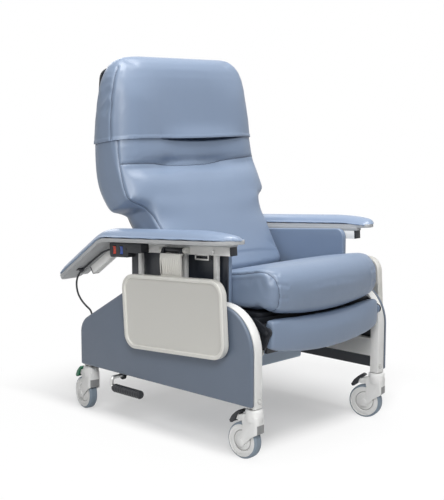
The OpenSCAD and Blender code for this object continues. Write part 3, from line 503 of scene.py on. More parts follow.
finishes = {
    "vinyl": vinylFinish("blueVinyl", colours["vinyl"]),
    # painted light: the arm pads' vinyl is 1.18 times lighter than the rest, standing in for the light and
    # sheen on the arm tops
    "litArmVinyl": vinylFinish("litArmVinyl", shade(colours["vinyl"], 1.18), 1500, 0.3, 0.07),
    # painted shade: the side panels are the blue vinyl made darker, with their inner faces near black
    "panel": vinylFinish("panelVinylShaded", colours["panel"], 1500, 0.4, 0.12,
                         shadedFaceMark(panelSet["sideShadedFace"])),
    # painted light: a lighter copy of the blue vinyl for the kick panel
    "kick": vinylFinish("kickVinylLit", colours["kick"], 1500, 0.4, 0.12),
    # painted shade: the arm panels' outer faces are coloured near black
    "armPanel": vinylFinish("armPanelVinyl", colours["vinyl"], mark=shadedFaceMark(panelSet["armShadedFace"])),
    "paint": paintFinish("whitePaint", colours["paint"]),
    "tray": plasticFinish("trayPlastic", colours["tray"], 0.42, 1700, 0.08, recessShadeMark()),
    # painted shade: the strap is the tray's plastic made darker
    "strap": plasticFinish("strapPlastic", shade(colours["tray"], traySet["strapPaintedShade"]), 0.42, 1700, 0.08,
                           knuckleMark()),
    "hinge": plasticFinish("hingeBar", colours["black"], 0.4, mark=lugMark()),
    "board": plasticFinish("boardEdge", colours["board"], 0.4),
    "blackPlastic": plasticFinish("blackPlastic", colours["black"], 0.4),
    "blackSteel": paintFinish("blackPaint", colours["black"], 0.5, shine=0.2),
    "legBoard": plasticFinish("legBoard", colours["black"], 0.5, mark=wrapMark()),
    "cable": plasticFinish("cableSheath", colours["black"], 0.42, 2200, 0.06),
    "zinc": metalFinish("zincPlate", colours["zinc"]),
    "blue": plasticFinish("blueRocker", colours["blue"], 0.3),
    "red": plasticFinish("redRocker", colours["red"], 0.3),
    "green": plasticFinish("greenPedal", colours["green"], 0.42),
    "thread": plasticFinish("seamThread", colours["thread"], 0.6, 3000, 0.2),
    "seam": plasticFinish("seamShadow", shade(colours["vinyl"], 0.36), 0.7, 3000, 0.2),
}
cable.data.materials.append(finishes["cable"])
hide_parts("control_cable")
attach(cable, "base")
print("finishes made:", len(finishes))


# rigid parts keep their solids; rounded edges and smooth shading come from modifiers
dressSet = {"crisp": math.radians(38), "flat": math.radians(0.5), "merge": 0.00002}


def shadeTree():
    # smooth shading, with the edges that are sharper than the angle kept crisp
    tree = bpy.data.node_groups.new("softShading", "GeometryNodeTree")
    tree.interface.new_socket("Geometry", in_out="INPUT", socket_type="NodeSocketGeometry")
    angle = tree.interface.new_socket("Crisp angle", in_out="INPUT", socket_type="NodeSocketFloat")
    angle.default_value = dressSet["crisp"]
    tree.interface.new_socket("Geometry", in_out="OUTPUT", socket_type="NodeSocketGeometry")
    start = tree.nodes.new("NodeGroupInput")
    end = tree.nodes.new("NodeGroupOutput")
    faces = tree.nodes.new("GeometryNodeSetShadeSmooth")
    edges = tree.nodes.new("GeometryNodeSetShadeSmooth")
    edges.domain = "EDGE"
    bend = tree.nodes.new("GeometryNodeInputMeshEdgeAngle")
    sharp = tree.nodes.new("FunctionNodeCompare")
    sharp.operation = "GREATER_THAN"
    tree.links.new(start.outputs["Geometry"], faces.inputs["Geometry"])
    tree.links.new(faces.outputs["Geometry"], edges.inputs["Geometry"])
    tree.links.new(bend.outputs["Unsigned Angle"], sharp.inputs[0])
    tree.links.new(start.outputs["Crisp angle"], sharp.inputs[1])
    tree.links.new(sharp.outputs["Result"], edges.inputs["Selection"])
    edges.inputs["Shade Smooth"].default_value = False
    tree.links.new(edges.outputs["Geometry"], end.inputs["Geometry"])
    return tree


softShading = shadeTree()


def dress(node, finish, edge=0.0008, steps=2):
    # finish and softened edges on a solid that stays
    obj = nodes[node]
    obj.data.materials.clear()
    obj.data.materials.append(finishes[finish])
    weld = obj.modifiers.new("joinCorners", "WELD")
    weld.merge_threshold = dressSet["merge"]
    flat = obj.modifiers.new("joinFlats", "DECIMATE")
    flat.decimate_type = "DISSOLVE"
    flat.angle_limit = dressSet["flat"]
    bevel = obj.modifiers.new("softEdges", "BEVEL")
    bevel.width = edge
    bevel.segments = steps
    bevel.limit_method = "ANGLE"
    bevel.angle_limit = dressSet["crisp"]
    bevel.harden_normals = False
    obj.modifiers.new("shading", "NODES").node_group = softShading


# finish, edge width, steps round the edge, parts
rigidSet = [
    ("paint", 0.0015, 2, ["side_frame_right", "side_frame_left", "cross_tubes", "arm_frame_right",
                          "arm_frame_left"]),
    ("panel", 0.006, 4, ["side_panel_right", "side_panel_left"]),
    ("kick", 0.004, 3, ["kick_panel"]),
    ("armPanel", 0.004, 3, ["arm_panel_right", "arm_panel_left"]),
    ("board", 0.0015, 2, ["arm_board_right", "arm_board_left"]),
    ("tray", 0.002, 3, ["tray_right", "tray_left"]),
    ("strap", 0.001, 2, ["tray_bracket_right", "tray_bracket_left"]),
    ("hinge", 0.0008, 2, ["tray_hinges"]),
    ("zinc", 0.0006, 2, ["frame_screws", "tray_catches", "drive_links", "gas_rod", "pedal_lever"]),
    ("blackPlastic", 0.0008, 2, ["leg_plugs", "arm_tube_plugs", "control_box", "cable_clips",
                                 "pedal_sleeve", "back_shell"]),
    # painted shade: the seat board is black, darkening the gap between the seat nose and the leg rest where
    # it shows
    ("blackSteel", 0.0008, 2, ["pedal_bracket", "seat_frame", "back_frame", "push_bar",
                               "gas_cylinder", "seat_board"]),
    ("legBoard", 0.0008, 2, ["legrest_board"]),
    ("blue", 0.0008, 2, ["massage_rocker"]),
    ("red", 0.0008, 2, ["heat_rocker"]),
    ("green", 0.001, 2, ["caster_pedal_rear_right"]),
    ("blackPlastic", 0.001, 2, ["caster_pedal_front_right", "caster_pedal_front_left",
                                "caster_pedal_rear_left"]),
]
for finish, edge, steps, group in rigidSet:
    for node in group:
        dress(node, finish, edge, steps)
for corner in casterPlaces:
    fork, wheel, tyre = ("%s_%s" % (piece, corner) for piece in ("fork", "wheel", "tyre"))
    gloss = casterSet["gloss"]
    finishes[fork] = plasticFinish(fork, colours["caster"], gloss, mark=insertMark(corner))
    finishes[wheel] = plasticFinish(wheel, colours["caster"], gloss, mark=grooveShadeMark(corner))
    finishes[tyre] = plasticFinish(tyre, colours["tread"], 0.55, 900, 0.2, flangeMark(corner))
    dress("caster_" + fork, fork, 0.0012)
    dress("caster_" + wheel, wheel)
    dress("caster_" + tyre, tyre)
print("rigid parts dressed")


# soft pieces: a slightly smaller copy of the solid swells under its cover, then gets its seams
clothSet = {"quality": 4, "mass": 0.3, "stiffness": 18, "bending": 8, "frames": 20, "calmPasses": 2}
# stitches along a seam, and the dark cord of painted shadow in the seam itself
sewSet = {
    "pitch": 0.005, "length": 0.0037, "thick": 0.0009, "lift": 0.0003,
    "seamThick": 0.0014, "seamLift": 0.0002,
}


def takeCopy(node, name):
    work = bmesh.new()
    work.from_mesh(nodes[node].data)
    bmesh.ops.remove_doubles(work, verts=work.verts, dist=dressSet["merge"])
    mesh = bpy.data.meshes.new(name)
    work.to_mesh(mesh)
    work.free()
    return newObject(name, mesh)


def weighPoints(obj, name, weights):
    group = obj.vertex_groups.new(name=name)
    for index in np.flatnonzero(weights > 0.01):
        group.add([int(index)], float(weights[index]), "REPLACE")


def swell(obj, soft):
    # even mesh, then pressure inside a cloth skin; held points stay against what carries the pad
    even = obj.modifiers.new("evenMesh", "REMESH")
    even.mode = "VOXEL"
    even.voxel_size = soft["voxel"]
    bakeModifiers(obj)
    ease = obj.modifiers.new("ease", "SMOOTH")
    ease.iterations = soft["ease"]
    ease.factor = 0.5
    bakeModifiers(obj)
    start = readPoints(obj.data)
    normal = readNormals(obj.data)
    held = soft["held"](start, normal)
    start = start - normal * soft["tuck"] * (1 - held)[:, None]
    writePoints(obj.data, start)
    weighPoints(obj, "held", held)
    cloth = obj.modifiers.new("swell", "CLOTH")
    cloth.settings.quality = clothSet["quality"]
    cloth.settings.mass = clothSet["mass"]
    cloth.settings.tension_stiffness = clothSet["stiffness"]
    cloth.settings.compression_stiffness = clothSet["stiffness"]
    cloth.settings.bending_stiffness = clothSet["bending"]
    cloth.settings.use_pressure = True
    cloth.settings.uniform_pressure_force = soft["pressure"]
    cloth.settings.effector_weights.gravity = 0
    cloth.settings.vertex_group_mass = "held"
    cloth.point_cache.frame_start = 1
    cloth.point_cache.frame_end = clothSet["frames"]
    for number in range(1, clothSet["frames"] + 1):
        scene.frame_set(number)
    swollen = obj.evaluated_get(bpy.context.evaluated_depsgraph_get()).data
    move = readPoints(swollen) - start
    far = np.linalg.norm(move, axis=1)
    move *= np.minimum(1, soft["cap"] / np.maximum(far, 1e-9))[:, None]
    print("  ", obj.name, "swelled up to", round(1000 * float(far.max()), 1), "mm")
    obj.modifiers.clear()
    obj.vertex_groups.clear()
    scene.frame_set(1)
    writePoints(obj.data, start + move)
    smooth = obj.modifiers.new("smooth", "SMOOTH")
    smooth.iterations = clothSet["calmPasses"]
    finer = obj.modifiers.new("finer", "SUBSURF")
    finer.levels = 1
    finer.render_levels = 1
    bakeModifiers(obj)
    shadeSmooth(obj)
    return obj


def surfaceTree(obj):
    return BVHTree.FromPolygons([v.co for v in obj.data.vertices], [p.vertices for p in obj.data.polygons])


def layOn(tree, line, lift=0.0):
    # the line's points moved onto the surface, with the normals there
    places, normals = [], []
    for point in line:
        place, normal, _, _ = tree.find_nearest(Vector(point))
        places.append(place + normal * lift)
        normals.append(normal)
    return np.array(places), np.array(normals)


def pressSeam(obj, lines, depth, width, puff):
    # a groove along each line, with the cover swelling a little on both sides of it
    points = readPoints(obj.data)
    normal = readNormals(obj.data)
    total = sum(len(line) for line in lines)
    tree = kdtree.KDTree(total)
    index = 0
    for line in lines:
        for point in line:
            tree.insert(Vector(point), index)
            index += 1
    tree.balance()
    away = np.array([tree.find(Vector(p))[2] for p in points])
    groove = np.exp(-((away / width) ** 2))
    beads = np.exp(-(((away - 3 * width) / (1.6 * width)) ** 2))
    push = puff * beads - depth * groove
    writePoints(obj.data, points + normal * push[:, None])


def stitchTree():
    # stitches of one length laid end to end along each line
    tree = bpy.data.node_groups.new("stitchRow", "GeometryNodeTree")
    tree.interface.new_socket("Geometry", in_out="INPUT", socket_type="NodeSocketGeometry")
    for label in ("Pitch", "Length", "Thick"):
        socket = tree.interface.new_socket(label, in_out="INPUT", socket_type="NodeSocketFloat")
        socket.default_value = sewSet[label.lower()]
    tree.interface.new_socket("Thread", in_out="INPUT", socket_type="NodeSocketMaterial")
    tree.interface.new_socket("Geometry", in_out="OUTPUT", socket_type="NodeSocketGeometry")
    make = tree.nodes.new
    start, end = make("NodeGroupInput"), make("NodeGroupOutput")
    spots = make("GeometryNodeCurveToPoints")
    spots.mode = "LENGTH"
    ball = make("GeometryNodeMeshUVSphere")
    ball.inputs["Segments"].default_value = 6
    ball.inputs["Rings"].default_value = 4
    ball.inputs["Radius"].default_value = 0.5
    size = make("ShaderNodeCombineXYZ")
    shape = make("GeometryNodeTransform")
    lay = make("GeometryNodeInstanceOnPoints")
    real = make("GeometryNodeRealizeInstances")
    tint = make("GeometryNodeSetMaterial")
    link = tree.links.new
    link(start.outputs["Geometry"], spots.inputs["Curve"])
    link(start.outputs["Pitch"], spots.inputs["Length"])
    for axis in "XY":
        link(start.outputs["Thick"], size.inputs[axis])
    link(start.outputs["Length"], size.inputs["Z"])
    link(ball.outputs["Mesh"], shape.inputs["Geometry"])
    link(size.outputs[0], shape.inputs["Scale"])
    link(spots.outputs["Points"], lay.inputs["Points"])
    link(spots.outputs["Rotation"], lay.inputs["Rotation"])
    link(shape.outputs["Geometry"], lay.inputs["Instance"])
    link(lay.outputs["Instances"], real.inputs["Geometry"])
    link(real.outputs["Geometry"], tint.inputs["Geometry"])
    link(start.outputs["Thread"], tint.inputs["Material"])
    link(tint.outputs["Geometry"], end.inputs["Geometry"])
    return tree


stitchRow = stitchTree()


def sewStitches(name, lines, body):
    holder = drawCurve(name + "Lines", lines)
    sew = holder.modifiers.new("stitches", "NODES")
    sew.node_group = stitchRow
    values = {"Pitch": sewSet["pitch"], "Length": sewSet["length"], "Thread": finishes["thread"]}
    for item in stitchRow.interface.items_tree:
        if item.in_out == "INPUT" and item.name in values:
            sew[item.identifier] = values[item.name]
    stitches = newObject(name, meshFrom(holder, name))
    shadeSmooth(stitches)
    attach(stitches, body)


def drawSeamShadows(name, tree, lines, body):
    # painted shadow: the shadow line of each seam, drawn as a thin dark cord deep in its groove
    laid = [layOn(tree, line, sewSet["seamLift"])[0] for line in lines]
    holder = drawCurve(name + "Lines", laid, sewSet["seamThick"], 1)
    seams = newObject(name, meshFrom(holder, name), finishes["seam"])
    shadeSmooth(seams)
    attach(seams, body)


def beside(tree, line, gap):
    # a row that runs next to a seam, gap away from it across the surface
    places, normals = layOn(tree, line)
    ahead = np.gradient(places, axis=0)
    across = np.cross(normals, ahead)
    across /= np.linalg.norm(across, axis=1)[:, None] + 1e-12
    return layOn(tree, places + across * gap, sewSet["lift"])[0]


def bothSides(tree, route):
    # a route drawn on the sitter's right, laid on the surface on both sides
    return [layOn(tree, smoothLine(mirrored(route, sign)))[0] for sign in sides.values()]


def sewSeams(obj, name, body, soft, lines, turns, hems=()):
    # grooves with their shadow lines, a row of stitches to one side of each, and rows of their own for hems
    pressSeam(obj, lines, soft["seamDeep"], soft["seamWide"], soft["seamPuff"])
    tree = surfaceTree(obj)
    drawSeamShadows(name + "Seams", tree, lines, body)
    rows = [beside(tree, line, turn * soft["rowGap"]) for line, turn in zip(lines, turns)]
    rows += [layOn(tree, line, sewSet["lift"])[0] for line in hems]
    sewStitches(name + "Stitches", rows, body)


def finishPad(obj, node, body, finish="vinyl"):
    obj.data.materials.clear()
    obj.data.materials.append(finishes[finish])
    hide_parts(node)
    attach(obj, body)


# hem of the head cover: height and depth of its front edge, its fall to the rear, and where it stands off
hemSet = {"height": 0.869, "deep": 0.18, "fall": 0.14, "middle": 0.05, "half": 0.19}


def aboveHem(points):
    return points[:, 2] - hemSet["height"] + hemSet["fall"] * (points[:, 1] - hemSet["deep"])


def hemBow(points):
    # 1 in the middle of the stretch that stands off, 0 at its ends
    return np.clip(1 - ((points[:, 0] - hemSet["middle"]) / hemSet["half"]) ** 2, 0, 1)


# winged back; pairs give where an effect begins and where it is full, minus signs turn the direction round
backSet = {
    "voxel": 0.0065, "ease": 3, "tuck": 0.0005, "pressure": 4.0, "cap": 0.0018, "fill": 0.7,
    "held": lambda p, n: np.maximum(span(n[:, 1], (0.5, 0.8)), span(-p[:, 2], (-0.52, -0.49))),
    "seamDeep": 0.0020, "seamWide": 0.0030, "seamPuff": 0.0006, "rowGap": 0.0045,
    # near top corner under the cover
    "slip": 0.020, "slipAcross": (0.15, 0.30), "slipUp": (1.0, 1.1), "slipCurve": 1.6,
    # hollow along the band seam
    "valley": 0.008, "valleyHeight": 0.792, "valleySpread": 0.030, "valleyEnds": (-0.305, -0.255),
    # fullness beside the middle
    "pillow": 0.021, "pillowFar": 0.6, "pillowRise": (0.05, 0.25), "pillowFall": (-0.303, -0.228),
    "pillowLow": (0.69, 0.77), "pillowTop": (-1.12, -0.98),
    # rounder near edge under the cover
    "worn": 0.009, "wornAcross": (0.235, 0.303), "wornDeep": (-0.275, -0.215), "wornUp": (0.85, 0.88),
    # smooth run from the wings into the lower back
    "calm": 160, "calmFacing": (0.15, 0.50), "calmAcross": (0.12, 0.17), "calmEdge": (-0.300, -0.288),
    "calmLow": (0.60, 0.64), "calmTop": (-0.78, -0.73),
    # pocket behind the hem of the cover
    "pocket": 0.015, "pocketDip": 0.012, "pocketEdge": (0, 0.007), "pocketInside": (-0.04, -0.02),
    # front edge of the wing, from under the cover down to the seat
    "wingSeam": [
        (-0.290, 0.186, 0.900), (-0.292, 0.181, 0.864), (-0.295, 0.175, 0.828), (-0.299, 0.163, 0.785),
        (-0.303, 0.147, 0.738), (-0.3035, 0.132, 0.706), (-0.300, 0.126, 0.693), (-0.288, 0.126, 0.687),
        (-0.272, 0.121, 0.679), (-0.257, 0.112, 0.668), (-0.246, 0.102, 0.657), (-0.241, 0.087, 0.646),
        (-0.238, 0.074, 0.632), (-0.236, 0.061, 0.617), (-0.234, 0.048, 0.600), (-0.233, 0.030, 0.567),
        (-0.232, 0.010, 0.530), (-0.231, -0.008, 0.500),
    ],
    # across the front below the head cover, dipping between the two tufts
    "bandSeam": [
        (-0.297, 0.165, 0.797), (-0.246, 0.162, 0.798), (-0.190, 0.160, 0.797), (-0.148, 0.161, 0.792),
        (-0.112, 0.164, 0.788), (-0.060, 0.156, 0.787), (-0.010, 0.153, 0.787), (0.040, 0.157, 0.788),
        (0.090, 0.161, 0.790), (0.134, 0.161, 0.795), (0.180, 0.160, 0.799), (0.240, 0.163, 0.803),
        (0.297, 0.167, 0.805),
    ],
}


def settleBack(back):
    points = readPoints(back.data)
    across, deep, up = points.T.copy()
    aside = np.abs(across)
    facing = np.clip(-readNormals(back.data)[:, 1], 0, 1)
    # the near top corner has slipped down a little
    corner = span(-across, backSet["slipAcross"]) ** backSet["slipCurve"] * span(up, backSet["slipUp"])
    points[:, 2] -= backSet["slip"] * corner
    # the front is drawn in along the band seam
    valley = np.exp(-(((up - backSet["valleyHeight"]) / backSet["valleySpread"]) ** 2))
    points[:, 1] += backSet["valley"] * valley * span(-aside, backSet["valleyEnds"]) * facing
    # pillowed front: fuller towards the sides, then falling away to the edge seams
    full = ramp(aside, backSet["pillowRise"]) * np.sin(0.5 * math.pi * span(-aside, backSet["pillowFall"]))
    full *= ramp(up, backSet["pillowLow"]) * ramp(-up, backSet["pillowTop"])
    points[:, 1] -= backSet["pillow"] * full * facing * np.where(across < 0, 1, backSet["pillowFar"])
    # the near edge under the cover is worn rounder
    worn = span(-across, backSet["wornAcross"]) ** 2 * span(-deep, backSet["wornDeep"])
    points[:, 1] += backSet["worn"] * worn * span(up, backSet["wornUp"])
    writePoints(back.data, points)
    # the wings run smoothly into the narrower lower back
    points, normal = readPoints(back.data), readNormals(back.data)
    aside, up = np.abs(points[:, 0]), points[:, 2]
    share = span(-normal[:, 1], backSet["calmFacing"]) * span(aside, backSet["calmAcross"])
    share *= span(up, backSet["calmLow"]) * span(-up, backSet["calmTop"]) * span(-aside, backSet["calmEdge"])
    weighPoints(back, "wings", share)
    calm = back.modifiers.new("calm", "SMOOTH")
    calm.iterations = backSet["calm"]
    calm.factor = 0.5
    calm.vertex_group = "wings"
    bakeModifiers(back)
    back.vertex_groups.clear()


def makeBack():
    back = swell(takeCopy("back_cushion", "backPad"), backSet)
    settleBack(back)
    plain = back.data.copy()
    # pocket behind the hem of the head cover, with a lip just below it
    points = readPoints(back.data)
    facing = np.clip(-readNormals(back.data)[:, 1], 0, 1)
    bow, above = hemBow(points), aboveHem(points)
    mouth = span(backSet["pocketDip"] * bow + above, backSet["pocketEdge"])
    mouth *= span(-above, backSet["pocketInside"])
    points[:, 1] += backSet["pocket"] * facing * np.sqrt(bow) * mouth
    writePoints(back.data, points)
    tree = surfaceTree(back)
    seams = bothSides(tree, backSet["wingSeam"])
    seams.append(layOn(tree, smoothLine(backSet["bandSeam"]))[0])
    sewSeams(back, "back", "back", backSet, seams, (-1, 1, 1))
    finishPad(back, "back_cushion", "back")
    return plain


plainBack = makeBack()
print("back made")


# slip-over head cover: follows the back, open behind, its hem spans the hollow between the wings
coverSet = {
    "flat": (0.86, 0.36), "gap": 0.0032, "thick": 0.0016, "hemBand": 0.010, "hemDouble": 0.0012,
    "hemHalf": 0.29, "hemStart": 0.14, "hemPoints": 240,
    "stand": 0.010, "standSpread": 0.030, "slack": 0.003, "foldFar": 0.75, "foldEnds": 0.35,
    "seamDeep": 0.0022, "seamWide": 0.003, "seamPuff": 0.0008, "rowGap": 0.004,
    "rearLow": (0.2835, 0.869), "rearHigh": (0.262, 1.090),
    "sideSeam": [
        (-0.262, 0.212, 1.096), (-0.270, 0.208, 1.087), (-0.281, 0.206, 1.068), (-0.291, 0.205, 1.034),
        (-0.297, 0.205, 1.005), (-0.303, 0.203, 0.955), (-0.307, 0.201, 0.915), (-0.310, 0.198, 0.872),
    ],
    # loose folds on the side: start, end, height, width
    "folds": [
        ((-0.291, 0.212, 1.042), (-0.298, 0.240, 1.022), 0.0062, 0.0065),
        ((-0.297, 0.208, 1.004), (-0.302, 0.243, 0.968), 0.0055, 0.0075),
        ((-0.292, 0.209, 1.026), (-0.300, 0.236, 1.000), -0.0060, 0.0065),
        ((-0.297, 0.209, 0.988), (-0.302, 0.228, 0.950), -0.0045, 0.0070),
        ((-0.281, 0.214, 1.066), (-0.290, 0.246, 1.052), 0.0034, 0.0080),
    ],
}


def cutCover():
    # the part of the back above the hem and in front of the rear edge
    work = bmesh.new()
    work.from_mesh(plainBack)
    bpy.data.meshes.remove(plainBack)
    rear, top = coverSet["rearLow"], coverSet["rearHigh"]
    hemPlane = ((0, hemSet["deep"], hemSet["height"]), Vector((0, hemSet["fall"], 1)).normalized())
    rearPlane = ((0, *rear), Vector((0, top[1] - rear[1], rear[0] - top[0])).normalized())
    for (place, lean), inner in ((hemPlane, True), (rearPlane, False)):
        everything = work.verts[:] + work.edges[:] + work.faces[:]
        bmesh.ops.bisect_plane(work, geom=everything, plane_co=place, plane_no=lean,
                               clear_inner=inner, clear_outer=not inner)
    mesh = bpy.data.meshes.new("headCover")
    work.to_mesh(mesh)
    work.free()
    return mesh


def makeCover():
    mesh = cutCover()
    cover = newObject("headCover", mesh, finishes["vinyl"])
    points, normal = readPoints(mesh), readNormals(mesh)
    above = aboveHem(points)
    # the cloth lies over the back with a small gap, its hem is doubled, and it has loose folds on the sides
    push = np.full(len(points), coverSet["gap"]) + coverSet["hemDouble"] * (above < coverSet["hemBand"])
    ends = coverSet["foldEnds"]
    for start, end, height, width in coverSet["folds"]:
        for sign in sides.values():
            a, b = (np.array(place) for place in mirrored([start, end], sign))
            along = np.clip(((points - a) @ (b - a)) / ((b - a) @ (b - a)), 0, 1)
            away = np.linalg.norm(points - a - along[:, None] * (b - a), axis=1)
            fade = coverSet["foldFar"] if sign > 0 else 1
            crest = ends + (1 - ends) * np.sin(math.pi * along)
            push += fade * height * np.exp(-((away / width) ** 2)) * crest
    out = points + normal * push[:, None]
    # the middle of the hem stands off the pocket behind it
    facing = np.clip(-normal[:, 1], 0, 1)
    stand = coverSet["stand"] * np.exp(-((above / coverSet["standSpread"]) ** 2)) + coverSet["slack"]
    out[:, 1] -= stand * facing * hemBow(points)
    writePoints(mesh, out)
    height = hemSet["height"] + coverSet["hemBand"]
    places = np.linspace(-coverSet["hemHalf"], coverSet["hemHalf"], coverSet["hemPoints"])
    hemLine = [(x, coverSet["hemStart"], height) for x in places]
    seams = bothSides(surfaceTree(cover), coverSet["sideSeam"])
    sewSeams(cover, "cover", "back", coverSet, seams, (-1, 1), [hemLine])
    thick = cover.modifiers.new("cloth", "SOLIDIFY")
    thick.thickness = coverSet["thick"]
    thick.offset = -1
    bakeModifiers(cover)
    shadeSmooth(cover)
    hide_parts("head_cover")
    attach(cover, "back")


makeCover()
print("head cover made")


# seat with its rolled nose and sewn ends
seatSet = {
    "voxel": 0.006, "ease": 3, "tuck": 0.0005, "pressure": 4.0, "cap": 0.0016,
    "held": lambda p, n: span(-n[:, 2], (0.6, 0.9)),
    "seamDeep": 0.0022, "seamWide": 0.0030, "seamPuff": 0.0008, "rowGap": 0.0045, "fill": 0.75, "half": 0.243,
    # the nose and the lower edge draw up towards the ends
    "noseRise": 0.012, "noseFrom": (0.325, 0.375), "low": (-0.452, -0.397),
    "edgeRise": 0.010, "edgeOut": (0.8, 1.0), "edgeFrom": (0.06, 0.12), "edgeCurve": 1.5,
    # the nose is fuller in the middle
    "bow": 0.006, "bowFrom": (0.30, 0.40), "bowUp": (0.425, 0.475),
    # gathers beside the end seams: where along the seam, how far towards the middle, how much lower
    "gathers": [(0.72, 0.022, -0.012), (0.79, 0.030, -0.010), (0.87, 0.022, -0.002), (0.75, -0.016, -0.008)],
    "gatherDeep": 0.0012, "gatherWide": 0.0042, "gatherPuff": 0.0006, "gatherAhead": 0.002,
    "endSeam": [
        (-0.241, -0.060, 0.470), (-0.241, -0.140, 0.488), (-0.241, -0.220, 0.498), (-0.241, -0.265, 0.503),
        (-0.241, -0.305, 0.510), (-0.240, -0.338, 0.516), (-0.237, -0.359, 0.518), (-0.231, -0.371, 0.515),
        (-0.226, -0.381, 0.509), (-0.222, -0.390, 0.499), (-0.220, -0.396, 0.487), (-0.218, -0.399, 0.473),
        (-0.217, -0.400, 0.459), (-0.216, -0.397, 0.445), (-0.213, -0.388, 0.433), (-0.210, -0.372, 0.424),
        (-0.209, -0.352, 0.420),
    ],
}


def shapeNose(seat):
    points = readPoints(seat.data)
    aside, deep, up = points.T.copy()
    out = np.abs(aside) / seatSet["half"]
    low = span(-up, seatSet["low"])
    rise = seatSet["noseRise"] * out**2 * span(-deep, seatSet["noseFrom"])
    edge = span(out, seatSet["edgeOut"]) ** seatSet["edgeCurve"] * span(-deep, seatSet["edgeFrom"])
    rise += seatSet["edgeRise"] * edge
    points[:, 2] += rise * low * (2 - low)
    fuller = ramp(-deep, seatSet["bowFrom"]) * ramp(points[:, 2], seatSet["bowUp"])
    points[:, 1] -= seatSet["bow"] * fuller * (1 - np.clip(out, 0, 1) ** 2)
    writePoints(seat.data, points)


def makeSeat():
    seat = swell(takeCopy("seat_cushion", "seatPad"), seatSet)
    shapeNose(seat)
    tree = surfaceTree(seat)
    ends = bothSides(tree, seatSet["endSeam"])
    # gathers beside the lower half of the end seams
    gathers = []
    for line, sign in zip(ends, sides.values()):
        for share, reach, drop in seatSet["gathers"]:
            start = line[int(share * (len(line) - 1))]
            end = start + np.array((-sign * reach, -seatSet["gatherAhead"], drop))
            gathers.append(layOn(tree, smoothLine([start, end]))[0])
    pressSeam(seat, gathers, seatSet["gatherDeep"], seatSet["gatherWide"], seatSet["gatherPuff"])
    sewSeams(seat, "seat", "seat", seatSet, ends, (1, -1))
    finishPad(seat, "seat_cushion", "seat")


makeSeat()
print("seat made")


# leg rest
legSet = {
    "voxel": 0.005, "ease": 2, "tuck": 0.0005, "pressure": 4.0, "cap": 0.003,
    "held": lambda p, n: span(n[:, 1], (0.5, 0.8)),
    "bow": 0.008, "bowFrom": (0.375, 0.410), "bowBelow": 0.05, "half": 0.243, "fill": 0.7,
}


def makeLegRest():
    pad = swell(takeCopy("legrest_pad", "legRestPad"), legSet)
    # fuller in the middle of the front, below the top edge
    points = readPoints(pad.data)
    top = points[:, 2].max()
    fuller = span(-points[:, 1], legSet["bowFrom"]) * ramp(-points[:, 2], (-top, legSet["bowBelow"] - top))
    points[:, 1] -= legSet["bow"] * fuller * (1 - (points[:, 0] / legSet["half"]) ** 2)
    writePoints(pad.data, points)
    finishPad(pad, "legrest_pad", "legrest")


makeLegRest()
print("leg rest made")


# arm pads, their cover drawn down over the upper edge of the board
armSet = {
    "voxel": 0.005, "ease": 2, "tuck": 0.0, "pressure": 4.0, "cap": 0.002,
    "held": lambda p, n: span(-n[:, 2], (0.4, 0.7)), "fill": 0.65,
    "middle": 0.312, "half": 0.041, "edgeDrop": 0.013, "edgeCurve": 2.2, "topFrom": (-0.35, 0.65),
    "wrapOut": 0.0072, "wrapDown": 0.0055, "wrapHeight": 0.012, "wrapReach": 0.008, "upright": 0.5,
}


def makeArmPads():
    for side in sides:
        pad = swell(takeCopy("arm_pad_" + side, "armPad_" + side), armSet)
        # the crown falls away towards the long edges
        points, normal = readPoints(pad.data), readNormals(pad.data)
        across = np.abs(points[:, 0] - sides[side] * armSet["middle"]) / armSet["half"]
        fall = np.clip(across, 0, 1) ** armSet["edgeCurve"] * span(normal[:, 2], armSet["topFrom"])
        points[:, 2] -= armSet["edgeDrop"] * fall
        # the rim, led outwards by the nearest upright part of the edge
        board = surfaceTree(nodes["arm_board_" + side])
        upright = np.flatnonzero(np.abs(normal[:, 2]) < armSet["upright"])
        rim = kdtree.KDTree(len(upright))
        for index in upright:
            rim.insert(Vector(points[index]), int(index))
        rim.balance()
        for index, point in enumerate(points.copy()):
            height = board.find_nearest(Vector(point))[3]
            if height > armSet["wrapHeight"]:
                continue
            _, near, away = rim.find(Vector(point))
            share = max(0, 1 - away / armSet["wrapReach"]) * (1 - height / armSet["wrapHeight"])
            lead = Vector((normal[near][0], normal[near][1], 0)).normalized()
            points[index] += share * armSet["wrapOut"] * np.array(lead)
            points[index, 2] -= share * armSet["wrapDown"]
        writePoints(pad.data, points)
        finishPad(pad, "arm_pad_" + side, "base", "litArmVinyl")


makeArmPads()
print("arm pads made")


# pale floor, white surround and soft studio light
roomSet = {
    # the floor as the camera sees it and as it bounces light
    "floorTint": (0.93, 0.93, 0.93, 1), "bounce": (0.66, 0.66, 0.66, 1), "floorSize": 9, "floorDrop": 0.0005,
    # share of white glow under the chair, and where it takes over all round, in front and on the near side
    "floorLift": 0.40, "fade": (0.62, 1.0), "front": (0.22, 0.37), "frontShare": 0.85,
    "side": (0.232, 0.35), "sideShare": 0.96,
    "surround": 0.03, "aim": (0, 0, 0.5),
    # name, place, width, watts
    "lamps": [
        ("highKey", (0.0, -0.45, 3.6), 2.0, 112),
        ("cameraFill", (-2.6, -2.3, 2.6), 1.7, 86),
        ("backLight", (1.4, 3.3, 2.6), 1.6, 24),
    ],
}


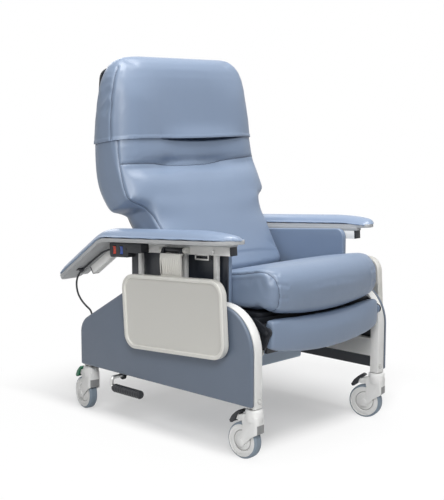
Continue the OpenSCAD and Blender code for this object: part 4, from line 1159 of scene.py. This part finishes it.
def makeFloor():
    paint = Finish("paleFloor", {"Roughness": 0.9, "Specular IOR Level": 0.0})
    tree = paint.tree
    where = paint.place()
    away = paint.add("ShaderNodeVectorMath", {"operation": "LENGTH"}, {0: where}, "Value")
    edge = paint.band(away, *roomSet["fade"])
    # the light from the front and the near side reaches in under the chair
    # painted light: the white glow takes over in front and on the near side, standing in for the light that
    # reaches in under the chair from there
    front = paint.band(paint.part(where, "Y") * -1, *roomSet["front"])
    edge = edge.calc("MAXIMUM", front * roomSet["frontShare"])
    near = paint.band(paint.part(where, "X") * -1, *roomSet["side"])
    edge = edge.calc("MAXIMUM", near * roomSet["sideShare"])
    seen = seenRays(tree)
    paint.feed(colour=paint.blend(seen, roomSet["bounce"], roomSet["floorTint"]))
    lift = roomSet["floorLift"]
    share = seen * (lift + (1 - lift) * edge)
    glow = paint.add("ShaderNodeEmission", inputs={"Color": (1, 1, 1, 1), "Strength": 1.0})
    body = Wire(tree, paint.shader.outputs[0])
    mixed = paint.add("ShaderNodeMixShader", inputs={0: share, 1: body, 2: glow})
    tree.links.new(mixed.socket, tree.nodes["Material Output"].inputs["Surface"])
    work = bmesh.new()
    bmesh.ops.create_circle(work, cap_ends=True, radius=roomSet["floorSize"], segments=96)
    mesh = bpy.data.meshes.new("paleFloor")
    work.to_mesh(mesh)
    work.free()
    writePoints(mesh, readPoints(mesh) - np.array((0, 0, roomSet["floorDrop"])))
    newObject("paleFloor", mesh, paint.material)


def makeRoom():
    makeFloor()
    scene.world = bpy.data.worlds.new("whiteRoom")
    scene.world.use_nodes = True
    sky = scene.world.node_tree
    back = sky.nodes["Background"]
    back.inputs["Color"].default_value = (1, 1, 1, 1)
    level = roomSet["surround"]
    power = level + (1 - level) * seenRays(sky)
    sky.links.new(power.socket, back.inputs["Strength"])
    for name, place, width, watts in roomSet["lamps"]:
        lamp = bpy.data.lights.new(name, "AREA")
        lamp.shape = "DISK"
        lamp.size = width
        lamp.energy = watts
        lampObject = bpy.data.objects.new(name, lamp)
        lampObject.location = place
        aim = Vector(roomSet["aim"]) - Vector(place)
        lampObject.rotation_euler = aim.to_track_quat("-Z", "Y").to_euler()
        scene.collection.objects.link(lampObject)
    scene.view_settings.view_transform = "Standard"


makeRoom()
print("room and light made")
